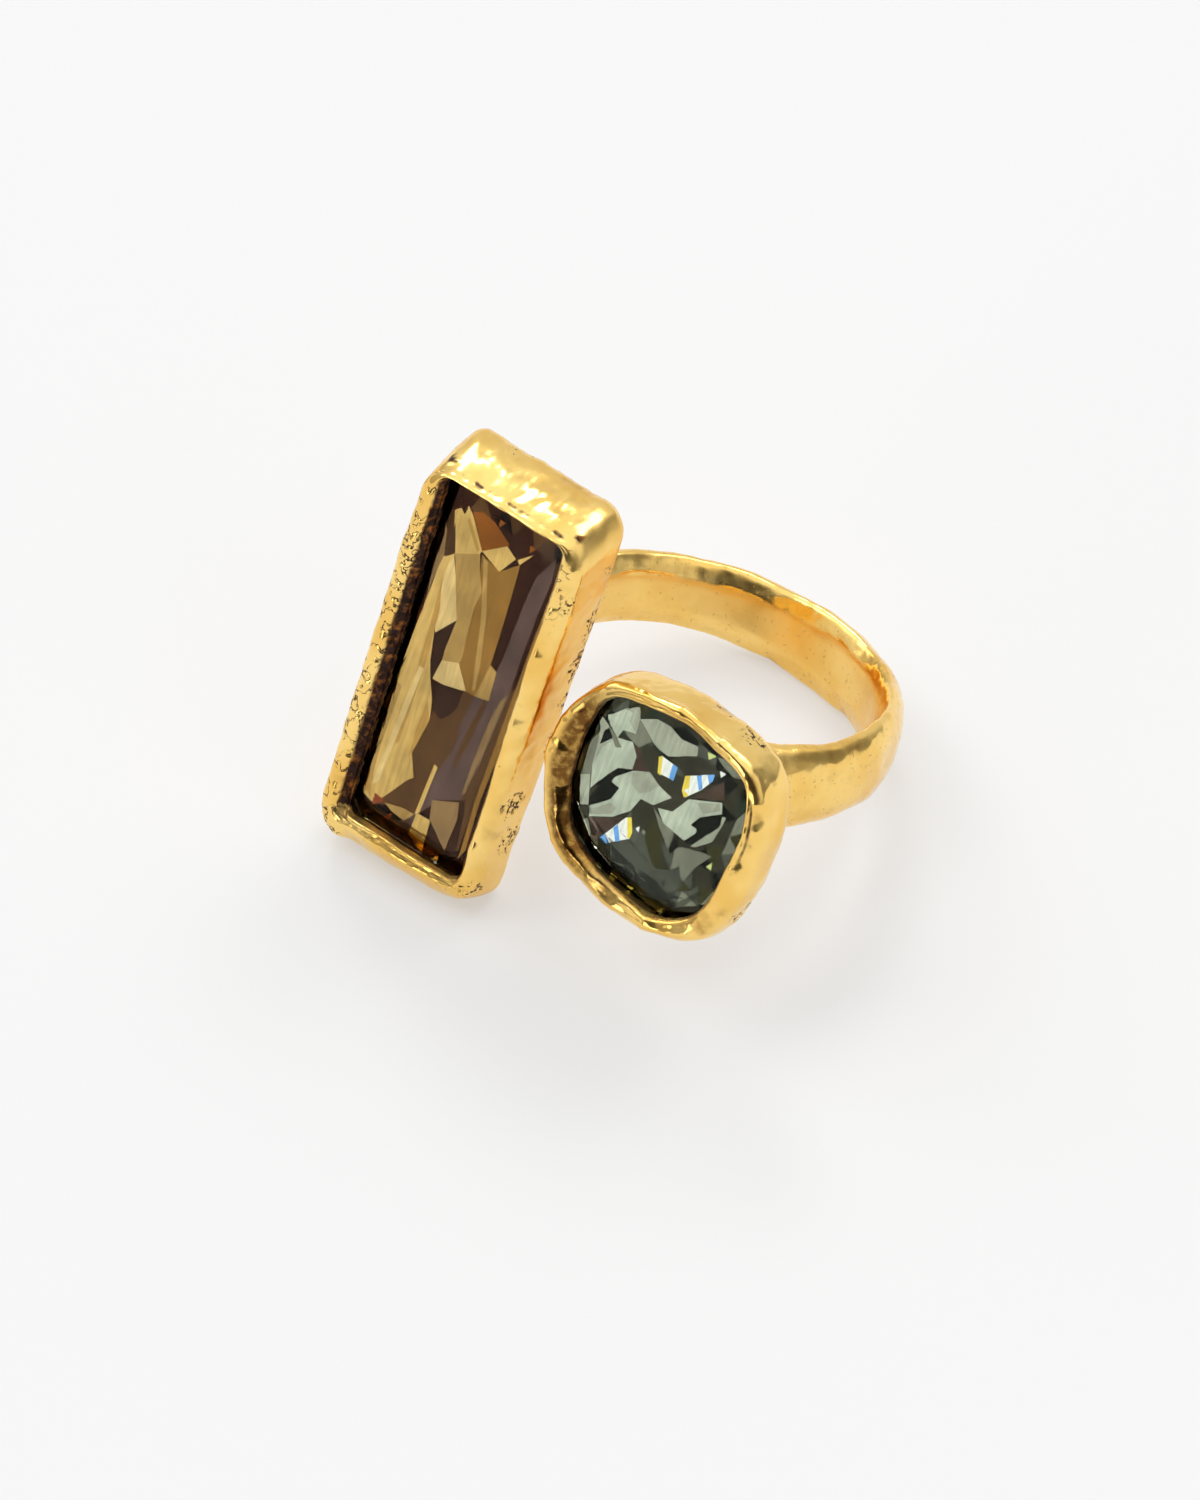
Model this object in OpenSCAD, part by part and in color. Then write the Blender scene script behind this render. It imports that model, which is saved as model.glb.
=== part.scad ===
// Open ring with two stones, cast in gold-coloured metal, resting on a table.
// Every piece is worked out in the ring's own frame and then laid down by resting().
// In the ring's own frame Z is the finger's axis, the two settings face -Y and the band's
// back is at +Y. Sizes are in millimetres and angles in degrees.

/* [Band] */
// Diameter of the hole for the finger
finger_d = 18; // [17:0.25:19]
// Height of the band along the finger
band_h = 4.8; // [4:0.1:5.4]
// Thickness of the band outside the finger hole
band_t = 1.75; // [1.5:0.05:2.1]
// Depth by which the finger hole flattens the inside of the oval section
band_flat = 0.22; // [0.15:0.01:0.4]
// Angle from the front at which the band stops behind the tall setting
tall_end_a = 21; // [20:1:23]
// Angle from the front at which the band stops behind the cushion setting
cushion_end_a = 5; // [2:1:12]

/* [Tall setting] */
// Width of the window inside the lip
tall_win_w = 7.7; // [7:0.1:8]
// Height of the window inside the lip
tall_win_h = 21.4; // [20:0.1:22]
// Width of the wall above the window, at its back
tall_top_lip = 1.4; // [1.2:0.05:1.6]
// Share of that width which is lost towards the front, where the top is worn round
tall_top_worn = 0.4; // [0:0.05:0.5]
// Width of the wall below the window
tall_foot_lip = 1.65; // [1.5:0.05:1.8]
// Width of the wall at the left of the window
tall_left_lip = 1.3; // [1.2:0.05:1.5]
// Width of the wall at the right of the window
tall_right_lip = 1.15; // [1.05:0.05:1.4]
// Depth of the setting from its front to its back, at mid height
tall_deep = 4.25; // [4.1:0.05:4.5]
// How much deeper the setting is at the top than at mid height
tall_wedge = 0.35; // [0:0.05:0.4]
// Depth of the pocket for the stone
tall_pocket = 2.7; // [2.6:0.1:3.0]
// Distance of the front from the finger's axis
tall_front = 14.3; // [14:0.1:14.6]
// Sideways place of the window's centre
tall_x = -7.3; // [-7.6:0.1:-7.2]
// Height of the window's centre above the band's middle
tall_z = 0.55; // [0:0.05:1]
// Forward lean of the top
tall_lean = 3.5; // [2:0.5:5]
// Turn of the setting in its own plane
tall_roll = 3.5; // [2.5:0.1:4.5]

/* [Cushion setting] */
// Width of the window inside the lip
cushion_win = 10.4; // [10:0.1:10.6]
// Depth of the setting from its front to its back
cushion_deep = 3.25; // [3.2:0.05:3.6]
// Depth of the pocket for the stone
cushion_pocket = 2.6; // [2.4:0.1:2.7]
// Distance of the front from the finger's axis
cushion_front = 13.6; // [13.4:0.1:13.8]
// Sideways place of the window's centre
cushion_x = 5.6; // [5.5:0.1:5.9]
// Height of the window's centre above the band's middle
cushion_z = -0.75; // [-1:0.05:0]
// Forward lean of the top
cushion_lean = 2; // [0:0.5:5]
// Turn of the setting in its own plane
cushion_roll = 5; // [3:0.5:8]

/* [Stones] */
// Gap between a stone and its pocket
stone_gap = 0.12; // [0.1:0.01:0.2]
// Depth of the long stone's table below the lip
long_table_in = 0.65; // [0.5:0.05:0.8]
// Width of the long stone's sloping crown
long_crown_w = 1.5; // [1.3:0.1:1.8]
// Depth of the cushion stone's table below the lip
cushion_table_in = 0.45; // [0.4:0.05:0.6]
// Height of each crown
crown_h = 0.75; // [0.6:0.05:0.8]
// Width by which each lip covers the edge of its stone
lip_cover = 0.4; // [0.3:0.05:0.45]

/* [Surface] */
// Height of the soft hammered waves
wave = 0.07; // [0:0.01:0.1]

/* [Rest] */
// Lean of the finger's axis back from upright
rest_lean = 25.2; // [20:0.1:30]
// Tip of the ring to its side
rest_tip = -0.9; // [-2:0.1:2]
// Turn on the table, which faces the stones to the front left
rest_turn = 35.1; // [0:0.1:90]

/* [Hidden] */
hole_r = finger_d / 2;
band_steps = 84; // stations along the band
oval_points = 18; // points round the band's section
oval_power = 2.3; // squareness of the section, where 2 is an ellipse
oval_in = 0.65; // widest place of the section, outside the hole
corner_steps = 4; // steps round each corner of a box outline
long_steps = 10; // steps along a long side
short_steps = 4; // steps along a short side
cushion_steps = 40; // points round the cushion outline
girdle_h = 0.35; // height of a stone's upright edge
floor_gap = 0.15; // gap under a stone

// The band at places round it: angle from its back, share of its thickness, share of its
// height, shift along the finger, and slant of the section, which lowers its outer side.
// It thickens into the back of each setting.
BAND = [
    // [angle, thickness, height, shift, slant]
    [-180, 1.30, 1.00, 0.00, 0.0],
    [-150, 1.90, 1.08, 0.00, 0.0],
    [-120, 1.60, 1.04, 0.10, 0.0],
    [-90, 1.35, 0.98, 0.30, 0.1],
    [-60, 1.00, 0.87, 0.50, 0.1],
    [-30, 1.02, 0.88, 0.46, 0.1],
    [0, 1.10, 0.94, 0.17, -0.1],
    [30, 1.08, 0.97, 0.05, -0.3],
    [60, 0.97, 1.00, -0.05, -0.1],
    [90, 1.00, 1.00, -0.10, 0.0],
    [120, 1.12, 1.01, -0.38, 0.0],
    [150, 1.45, 1.08, -0.20, 0.0],
    [180, 1.15, 1.05, 0.00, 0.0]
];

// The cushion window and its lip, read round the window from its right side upwards.
// The lip was pushed over the stone by hand, so no two sides are alike.
CUSHION = [
    // [angle, window radius, lip width]
    [0, 5.05, 1.40],
    [22.5, 5.60, 1.15],
    [45, 6.20, 0.90],
    [67.5, 5.60, 0.80],
    [90, 5.45, 0.70],
    [112.5, 5.60, 0.75],
    [135, 6.10, 0.90],
    [157.5, 5.55, 1.35],
    [180, 5.20, 1.60],
    [202.5, 5.30, 1.60],
    [225, 5.60, 1.50],
    [247.5, 5.40, 1.40],
    [270, 5.40, 1.30],
    [292.5, 5.90, 1.10],
    [315, 5.85, 1.45],
    [337.5, 5.25, 1.50]
];
cushion_table_w = 10.4; // width of the window that the table above was read for

// A setting's wall, from the middle of its back round the outside and into the pocket.
// Outward is measured from the window's edge, as a share of the lip's width and in
// millimetres, and depth from the front, as a share of the setting's depth and in millimetres.
// The pocket is wider than the window, so that the lip holds the stone in.
seat = lip_cover + stone_gap;
WALL = [
    // [lip share, outward, depth share, depth]
    [0.45, 0, 1, 0.00],
    [0.86, 0, 1, -0.12],
    [1.00, 0, 1, -0.55],
    [1.05, 0, 0.5, 0.00],
    [1.00, 0, 0, 0.75],
    [0.92, 0, 0, 0.30],
    [0.70, 0, 0, 0.06],
    [0.30, 0, 0, 0.00],
    [0.08, 0, 0, 0.14],
    [0.00, 0, 0, 0.36],
    [0.00, 0, 0, 0.66],
    [0.00, seat, 0, 0.92]
];

// Turns about the three axes, for a point
function turn_x(p, a) = [p.x, p.y * cos(a) - p.z * sin(a), p.y * sin(a) + p.z * cos(a)];
function turn_y(p, a) = [p.x * cos(a) + p.z * sin(a), p.y, p.z * cos(a) - p.x * sin(a)];
function turn_z(p, a) = [p.x * cos(a) - p.y * sin(a), p.x * sin(a) + p.y * cos(a), p.z];
function turned_to_rest(p) = turn_z(turn_y(turn_x(p, -rest_lean), rest_tip), -rest_turn);

// A smooth curve through four values in a row, read at t between the middle two
function through(a, b, c, d, t) =
    b + 0.5 * t * (c - a + t * (2 * a - 5 * b + 4 * c - d + t * (3 * (b - c) + d - a)));

// One column of a table with evenly spaced angles, read at any angle. A closed table
// starts again after its last row, and an open one holds its end rows.
function read_row(table, i, column, closed) =
    closed
        ? table[(i + len(table)) % len(table)][column]
        : table[min(max(i, 0), len(table) - 1)][column];
function read_at(table, angle, column, closed) =
    let (
        step = table[1][0] - table[0][0],
        place = (angle - table[0][0]) / step,
        i = floor(place)
    )
    through(
        read_row(table, i - 1, column, closed),
        read_row(table, i, column, closed),
        read_row(table, i + 1, column, closed),
        read_row(table, i + 2, column, closed),
        place - i
    );

// The soft hammered waves, as three ripples that run round a piece and drift along it
RIPPLES = [
    // [height, ripples round, drift along, start angle]
    [0.5, 3, 47, 0],
    [0.3, 5, -81, 70],
    [0.2, 9, 33, 150]
];
function ripple(row, angle, along) = row[0] * sin(row[1] * angle + row[2] * along + row[3]);

// Their sum, from about -1 to 1, at an angle round a piece and a place along it
function waves(angle, along) =
    ripple(RIPPLES[0], angle, along) + ripple(RIPPLES[1], angle, along)
    + ripple(RIPPLES[2], angle, along);

// A power that keeps its sign
function keep_sign(v, power) = sign(v) * pow(abs(v), power);

// One section of the band, at an angle from its back towards the right
function band_section(angle) =
    let (
        t = band_t * read_at(BAND, angle, 1, false),
        h = band_h * read_at(BAND, angle, 2, false) / 2,
        shift = read_at(BAND, angle, 3, false),
        slant = read_at(BAND, angle, 4, false)
    )
    [
        for (i = [0:oval_points - 1])
            let (
                q = 360 * i / oval_points,
                reach = cos(q) > 0 ? t - oval_in : oval_in + band_flat,
                r = hole_r + oval_in + reach * keep_sign(cos(q), 2 / oval_power)
                    + (cos(q) > 0 ? wave * waves(angle, q / 90) : 0),
                z = shift + h * keep_sign(sin(q), 2 / oval_power)
                    + slant * (r - hole_r - oval_in / 2)
                    + wave * waves(2 * angle, 0.5) * sin(q)
            )
            [r * sin(angle), r * cos(angle), z]
    ];
function band_middle(angle) =
    [(hole_r + oval_in) * sin(angle), (hole_r + oval_in) * cos(angle), 0];
band_from = tall_end_a - 180;
band_to = 180 - cushion_end_a;
function band_angle(i) = band_from + (band_to - band_from) * i / band_steps;
band_rings = [for (i = [0:band_steps]) band_section(band_angle(i))];

// The steps of an arc and of a straight line, in a setting's own plane
function arc(x, z, r, from) =
    [for (i = [0:corner_steps]) [x + r * cos(from + 90 * i / corner_steps),
                                 z + r * sin(from + 90 * i / corner_steps)]];
function line(p, q, steps) = [for (i = [1:steps - 1]) p + (q - p) * i / steps];

// A rectangle with round corners, as points that start at its right side
function box_outline(w, h, r) =
    let (
        x = w / 2 - r,
        z = h / 2 - r,
        a = arc(x, z, r, 0),
        b = arc(-x, z, r, 90),
        c = arc(-x, -z, r, 180),
        d = arc(x, -z, r, 270)
    )
    concat(
        a, line(a[corner_steps], b[0], short_steps),
        b, line(b[corner_steps], c[0], long_steps),
        c, line(c[corner_steps], d[0], short_steps),
        d, line(d[corner_steps], a[0], long_steps)
    );

// From a setting's own plane, with depth measured backwards, to the ring's frame
function placed(p, depth, front, x, z, lean, roll) =
    turn_x(turn_y([p.x, depth, p.y], roll), lean) + [x, -front, z];

// The tall setting: its outlines, and its depth, which grows towards the top
tall_win_r = 0.7; // corner radius of the window
tall_front_r = 1.7; // corner radius of the outside, at the front
tall_back_r = 0.7; // corner radius of the outside, at the back
tall_drift = 0.9; // turn of the outside against the window
tall_foot_slope = 2.2; // slope of the foot, which is lower at the left
tall_bow = 0.25; // bow of the left side
tall_wave = 0.2 * wave; // waves of the outside, in its own plane
tall_wave_turn = 60; // turn of the waves of the front against those of the outside
function tall_outline(share, out, deep_share) =
    let (
        left = tall_left_lip * share + out,
        right = tall_right_lip * share + out,
        top = tall_top_lip * share * (1 - tall_top_worn * (1 - deep_share)) + out,
        foot = tall_foot_lip * share + out,
        out_r = tall_front_r + (tall_back_r - tall_front_r) * deep_share,
        r = tall_win_r + (out_r - tall_win_r) * share,
        w = tall_win_w + left + right,
        h = tall_win_h + top + foot
    )
    [
        for (p = box_outline(w, h, r))
            let (
                drift = p.y * sin(tall_drift) * min(share, 1),
                bow = p.x < 0 ? tall_bow * share * (1 - pow(2 * p.y / h, 2)) : 0,
                slope = p.x * tan(tall_foot_slope) * share * max(-2 * p.y / tall_win_h, 0)
            )
            [p.x + (right - left) / 2 + drift - bow, p.y + (top - foot) / 2 + slope]
    ];
function tall_place(p, depth) =
    placed(p, depth, tall_front, tall_x, tall_z, tall_lean, tall_roll);
function tall_back(z) = tall_deep + tall_wedge * 2 * z / tall_win_h;
tall_rings = concat(
    [
        for (row = WALL)
            [
                for (p = tall_outline(row[0], row[1], row[2]))
                    let (
                        a = atan2(p.y / 2, p.x),
                        push = 1 + tall_wave * row[0] * waves(a, 2 * row[2]),
                        depth = row[2] * tall_back(p.y) + row[3]
                                + wave * waves(a + tall_wave_turn, 1) * (1 - row[2])
                    )
                    tall_place([p.x * push, p.y], depth)
            ]
    ],
    [[for (p = tall_outline(0, seat, 0)) tall_place(p, tall_pocket)]]
);

// The cushion setting, read from its table
cushion_k = cushion_win / cushion_table_w;
cushion_wave = 1.6 * wave; // waves of the lip, which was pushed by hand
cushion_wave_turn = 20; // turn of those waves
function cushion_outline(share, out, steps = cushion_steps, start = 0) =
    [
        for (i = [0:steps - 1])
            let (
                a = start + 360 * i / steps,
                r = cushion_k * (read_at(CUSHION, a, 1, true) + share * read_at(CUSHION, a, 2, true))
                    + out
            )
            [r * cos(a), r * sin(a)]
    ];
function cushion_place(p, depth) =
    placed(p, depth, cushion_front, cushion_x, cushion_z, cushion_lean, cushion_roll);
cushion_rings = concat(
    [
        for (row = WALL)
            [
                for (p = cushion_outline(row[0], row[1]))
                    let (
                        a = atan2(p.y, p.x),
                        depth = row[2] * cushion_deep + row[3]
                                + cushion_wave * waves(a + cushion_wave_turn, 2) * (1 - row[2])
                    )
                    cushion_place(p, depth)
            ]
    ],
    [[for (p = cushion_outline(0, seat)) cushion_place(p, cushion_pocket)]]
);

// A closed skin over a row of rings with the same number of points. Each end is a fan
// round its own middle point.
module skin(rings, first, last) {
    k = len(rings[0]);
    m = len(rings);
    sides = [
        for (j = [0:m - 2], i = [0:k - 1])
            let (
                a = j * k + i,
                b = j * k + (i + 1) % k
            )
            each [[a, b + k, b], [a, a + k, b + k]]
    ];
    start = [for (i = [0:k - 1]) [m * k, i, (i + 1) % k]];
    end = [for (i = [0:k - 1]) [m * k + 1, (m - 1) * k + (i + 1) % k, (m - 1) * k + i]];
    polyhedron(concat([for (r = rings) each r], [first, last]), concat(start, sides, end));
}

// The origin is under the middle of the resting ring, on the table
rest_points = [
    for (ring = concat(band_rings, tall_rings, cushion_rings), p = ring) turned_to_rest(p)
];
function side(c) = [for (p = rest_points) p[c]];
function middle(c) = (min(side(c)) + max(side(c))) / 2;
rest_shift = [-middle(0), -middle(1), -min(side(2))];
module resting() {
    translate(rest_shift) rotate([-rest_lean, rest_tip, -rest_turn]) children();
}

// The cast band with both settings, with the finger hole cut true and round
module band_with_settings() {
    color([0.93, 0.72, 0.32])
        resting()
            difference() {
                union() {
                    skin(band_rings, band_middle(band_from), band_middle(band_to));
                    skin(tall_rings, tall_place([0, 0], tall_deep), tall_place([0, 0], tall_pocket));
                    skin(cushion_rings, cushion_place([0, 0], cushion_deep),
                         cushion_place([0, 0], cushion_pocket));
                }
                cylinder(h = 4 * band_h, r = hole_r, center = true, $fn = 180);
            }
}

// The long stone: a rectangle with cut corners, with two steps in its crown and two below
crown_step = 0.4; // share of a crown's height at which its facets change slope
long_crown_step = 0.42; // share of the crown's width that is left at that height
long_foot_step = 2.45; // width taken off each side at the foot, in crown widths
long_cut = 0.9; // size of each cut corner, at the girdle
long_table_cut = 0.75; // share of that size which is left at the table
function cut_rectangle(w, h, cut) =
    [
        [w / 2, h / 2 - cut],
        [w / 2 - cut, h / 2],
        [cut - w / 2, h / 2],
        [-w / 2, h / 2 - cut],
        [-w / 2, cut - h / 2],
        [cut - w / 2, -h / 2],
        [w / 2 - cut, -h / 2],
        [w / 2, cut - h / 2]
    ];
long_girdle = long_table_in + crown_h;
long_foot = tall_pocket - floor_gap;
LONG_STEPS = [
    // [share of the crown's width taken off each side, depth]
    [1.00, long_table_in],
    [long_crown_step, long_table_in + crown_step * crown_h],
    [0.00, long_girdle],
    [0.00, long_girdle + girdle_h],
    [1.00, (long_girdle + girdle_h + long_foot) / 2],
    [long_foot_step, long_foot]
];
long_rings = [
    for (row = LONG_STEPS)
        let (
            grow = 2 * (lip_cover - row[0] * long_crown_w),
            cut = long_cut * (1 - row[0] * (1 - long_table_cut))
        )
        [for (p = cut_rectangle(tall_win_w + grow, tall_win_h + grow, cut)) tall_place(p, row[1])]
];
module long_stone() {
    color([0.55, 0.42, 0.2])
        resting()
            skin([for (i = [len(long_rings) - 1:-1:0]) long_rings[i]],
                 tall_place([0, 0], long_foot), tall_place([0, 0], long_table_in));
}

// The cushion stone: rings of points, each turned by half a facet from the one before, as
// a brilliant's are, with an upright edge between its crown and its back
cushion_facets = 16; // points round the girdle
cushion_girdle = cushion_table_in + crown_h;
cushion_foot = cushion_pocket - floor_gap;
CUSHION_STEPS = [
    // [share of the radius, depth, half steps of turn]
    [0.62, cushion_table_in, 0],
    [0.84, cushion_table_in + crown_step * crown_h, 1],
    [1.00, cushion_girdle, 2],
    [1.00, cushion_girdle + girdle_h, 2],
    [0.66, (cushion_girdle + girdle_h + cushion_foot) / 2, 3],
    [0.12, cushion_foot, 4]
];
cushion_stone_rings = [
    for (row = CUSHION_STEPS)
        [
            for (p = cushion_outline(0, lip_cover, cushion_facets, row[2] * 180 / cushion_facets))
                cushion_place(p * row[0], row[1])
        ]
];
module cushion_stone() {
    color([0.45, 0.5, 0.47])
        resting()
            skin([for (i = [len(cushion_stone_rings) - 1:-1:0]) cushion_stone_rings[i]],
                 cushion_place([0, 0], cushion_foot), cushion_place([0, 0], cushion_table_in));
}

band_with_settings();
long_stone();
cushion_stone();
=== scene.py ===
# %% [markdown]
# # An open gold-coloured ring with a long stone and a cushion stone
# The ring lies on its side on a pale table. It is one casting: a band that is open at the
# front, with a tall box-shaped setting on one end and a rounded, hand-pushed setting on
# the other. Each setting holds a cut stone below its lip. The solid model is loaded first
# as a fixed frame, and every piece made here takes the place of one of its solids.

# %% Load the solid model as the frame
import math
import bmesh
import bpy
import numpy as np
from mathutils import Matrix, Vector, geometry


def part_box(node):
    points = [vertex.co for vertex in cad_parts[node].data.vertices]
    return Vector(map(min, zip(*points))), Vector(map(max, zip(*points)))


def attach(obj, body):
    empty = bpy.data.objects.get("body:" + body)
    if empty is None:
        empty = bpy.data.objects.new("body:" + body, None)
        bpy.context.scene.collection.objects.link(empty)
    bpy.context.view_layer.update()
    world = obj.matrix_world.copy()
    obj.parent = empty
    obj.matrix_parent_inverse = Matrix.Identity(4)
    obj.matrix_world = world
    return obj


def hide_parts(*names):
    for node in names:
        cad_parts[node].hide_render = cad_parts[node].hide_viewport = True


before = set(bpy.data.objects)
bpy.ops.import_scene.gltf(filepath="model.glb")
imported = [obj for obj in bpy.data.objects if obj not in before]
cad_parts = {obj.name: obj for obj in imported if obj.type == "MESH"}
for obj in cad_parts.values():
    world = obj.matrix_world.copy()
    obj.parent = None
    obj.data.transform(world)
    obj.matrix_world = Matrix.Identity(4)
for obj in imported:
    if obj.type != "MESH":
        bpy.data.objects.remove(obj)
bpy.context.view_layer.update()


# %% [markdown]
# ## Where the ring lies
# The ring is easiest to think of in its own frame: the finger's axis upright, the two
# settings at the front and the band's back behind, in millimetres. Three turns then lay it
# down on the table as it rests by itself, on the foot of the tall setting and the edge of
# the band. Working in the ring's own frame keeps the numbers plain, and one function
# takes every point to the table at the end.

# %% From the ring's own frame to the table
MM = 0.001
REST_LEAN, REST_TIP, REST_TURN = 25.2, -0.9, 35.1
RING_CENTRE = np.array([4.83586, 3.63723, 6.22597])


def turn(axis, degrees):
    """A turn about one axis, as three rows."""
    return np.array(Matrix.Rotation(math.radians(degrees), 3, axis))


REST = turn("Z", -REST_TURN) @ turn("Y", REST_TIP) @ turn("X", -REST_LEAN)


def on_table(points):
    """Points in the ring's own frame, in millimetres, as places on the table in metres."""
    return (np.asarray(points, float) @ REST.T + RING_CENTRE) * MM


def off_table(places):
    """The way back from the table to the ring's own frame."""
    return (np.asarray(places, float) / MM - RING_CENTRE) @ REST


print("finger axis on the table:", on_table([0, 0, 1]) / MM - RING_CENTRE)


# %% Put a new object into the scene
def put(name, data):
    thing = bpy.data.objects.new(name, data)
    bpy.context.scene.collection.objects.link(thing)
    return thing


# %% [markdown]
# ## The camera
# The picture was taken from above at about 48 degrees, with a long lens, so the walls of
# the settings hardly converge. The camera stands 450 mm away, and is turned a little so
# that the ring sits below and right of the middle of the frame.

# %% Make the camera
ELEVATION, CAMERA_ROLL, DISTANCE = 48.02, 1.70, 450.0
SCALE = 18.87  # pixels per millimetre at the ring, in a picture 1200 pixels wide
WIDE_PX, TALL_PX = 1200, 1500
CENTRE_PX = (706.0, 685.5)  # where the ring's centre falls
SENSOR_MM = 36.0

e, r = math.radians(ELEVATION), math.radians(CAMERA_ROLL)
level_right, level_up = np.array([1, 0, 0]), np.array([0, math.sin(e), math.cos(e)])
toward_camera = np.array([0, -math.cos(e), math.sin(e)])
right = math.cos(r) * level_right + math.sin(r) * level_up
up = -math.sin(r) * level_right + math.cos(r) * level_up
off_right = (CENTRE_PX[0] - WIDE_PX / 2) / SCALE
off_up = (TALL_PX / 2 - CENTRE_PX[1]) / SCALE
aim = -off_right * right - off_up * up  # the middle of the picture, from the ring's centre
eye = DISTANCE * toward_camera
back = (eye - aim) / np.linalg.norm(eye - aim)
side = np.cross(up, back) / np.linalg.norm(np.cross(up, back))
over = np.cross(back, side)

camera_data = bpy.data.cameras.new("product_camera")
camera_data.sensor_fit = "AUTO"
camera_data.sensor_width = SENSOR_MM
camera_data.lens = SCALE * DISTANCE * SENSOR_MM / TALL_PX
camera_data.clip_start, camera_data.clip_end = 0.01, 20.0
camera = put("product_camera", camera_data)
place = np.eye(4)
place[:3, 0], place[:3, 1], place[:3, 2] = side, over, back
place[:3, 3] = (RING_CENTRE + eye) * MM
camera.matrix_world = Matrix(place)
bpy.context.scene.camera = camera
print("camera", [round(c, 4) for c in camera.location], "lens %.1f mm" % camera_data.lens)

# %% [markdown]
# ## Short ways to build node trees
# The sky, the metal's dents and every finish are node trees. Writing each node out takes
# many lines, so a value that flows through a tree is given plus, minus, times and divide:
# a formula in Python then adds the nodes that work it out.


# %% A value that flows through a node tree
class Flow:
    def __init__(self, nodes, socket):
        self.nodes, self.socket = nodes, socket

    def math(self, operation, *operands):
        return self.nodes.flow("ShaderNodeMath", dict(enumerate(operands)), operation=operation)

    def __add__(self, other):
        return self.math("ADD", self, other)

    def __sub__(self, other):
        return self.math("SUBTRACT", self, other)

    def __rsub__(self, other):
        return self.math("SUBTRACT", other, self)

    def __mul__(self, other):
        return self.math("MULTIPLY", self, other)

    def __rtruediv__(self, other):
        return self.math("DIVIDE", other, self)

    def __abs__(self):
        return self.math("ABSOLUTE", self)

    def most(self, other):
        return self.math("MAXIMUM", self, other)


# %% The tree that it flows through
class Nodes:
    def __init__(self, tree):
        self.tree = tree

    def feed(self, value, socket):
        """Joins a flow to an input, or sets the input's own value."""
        if isinstance(value, Flow):
            self.tree.links.new(value.socket, socket)
        else:
            socket.default_value = value

    def add(self, kind, inputs=None, **settings):
        """One node, with its options set and its inputs fed by name or number."""
        node = self.tree.nodes.new(kind)
        for key, value in settings.items():
            setattr(node, key, value)
        for key, value in (inputs or {}).items():
            self.feed(value, node.inputs[key])
        return node

    def flow(self, kind, inputs=None, out=0, **settings):
        """What one new node gives out."""
        return Flow(self, self.add(kind, inputs, **settings).outputs[out])

    def ramp(self, value, low, high, to=(0.0, 1.0), kind="SMOOTHSTEP"):
        ends = {0: value, 1: low, 2: high, 3: to[0], 4: to[1]}
        return self.flow("ShaderNodeMapRange", ends, interpolation_type=kind)

    def noise(self, at, scale, detail=2.0, rough=0.5, seed=None):
        inputs = {"Vector": at, "Scale": scale, "Detail": detail, "Roughness": rough}
        if seed is None:
            return self.flow("ShaderNodeTexNoise", inputs)
        return self.flow("ShaderNodeTexNoise", {"W": seed, **inputs}, noise_dimensions="4D")


# %% A new material
def new_finish(name, **values):
    """A new material: itself, its nodes and its shader, with constant values set on the shader."""
    finish = bpy.data.materials.new(name)
    finish.use_nodes = True
    shade = finish.node_tree.nodes["Principled BSDF"]
    for key, value in values.items():
        shade.inputs[key.replace("_", " ")].default_value = value
    return finish, Nodes(finish.node_tree), shade


# %% [markdown]
# ## Table and light
# The background is one even, nearly white surface, and the shadows on it are faint and
# soft. So the table is a light table, lit half from below, the rest of the light comes
# from all round, and one large soft lamp stands above and behind the ring. Polished metal
# shows its surroundings, so these matter as much as the lamp: bright above, dim behind
# the camera and at the right, with a few white panels that make the highlights.


# %% The pale table
TABLE_HALF = 3.0  # metres
TABLE_GREY, TABLE_GLOW = (0.44, 0.44, 0.44, 1), 0.43


def table_top():
    corners = [(x * TABLE_HALF, y * TABLE_HALF, 0) for x, y in ((-1, -1), (1, -1), (1, 1), (-1, 1))]
    mesh = bpy.data.meshes.new("table_top")
    mesh.from_pydata(corners, [], [(0, 1, 2, 3)])
    white, _, _ = new_finish("lit_white_table", Base_Color=TABLE_GREY, Roughness=1.0,
                             Emission_Color=(1, 1, 1, 1), Emission_Strength=TABLE_GLOW,
                             Specular_IOR_Level=0.0)
    mesh.materials.append(white)
    floor = put("table_top", mesh)


table_top()
print("table", 2 * TABLE_HALF, "m wide")


# %% The light all round
ROOM_LOW, ROOM_HIGH = 0.42, 1.17  # brightness at the horizon and overhead
ROOM = [
    # (what, azimuth from the viewer to the right, elevation, half width, soft edge, brightness)
    ("dim room behind the camera", -20, 26, 36, 20, 0.07),
    ("dim side of the room at the right", 95, 20, 18, 16, 0.25),
    ("white wall behind", 172, 6, 32, 14, 0.80),
    ("white panel at the far left", -125, 30, 13, 5, 2.6),
    ("high panel at the left", -97, 54, 11, 4, 3.4),
    ("low panel in front at the left", -45, 12, 9, 4, 3.0),
    ("window behind at the right", 140, 50, 11, 2, 5.0),
]


def heading(azimuth, elevation):
    a, b = math.radians(azimuth), math.radians(elevation)
    return (math.sin(a) * math.cos(b), -math.cos(a) * math.cos(b), math.sin(b))


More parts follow.
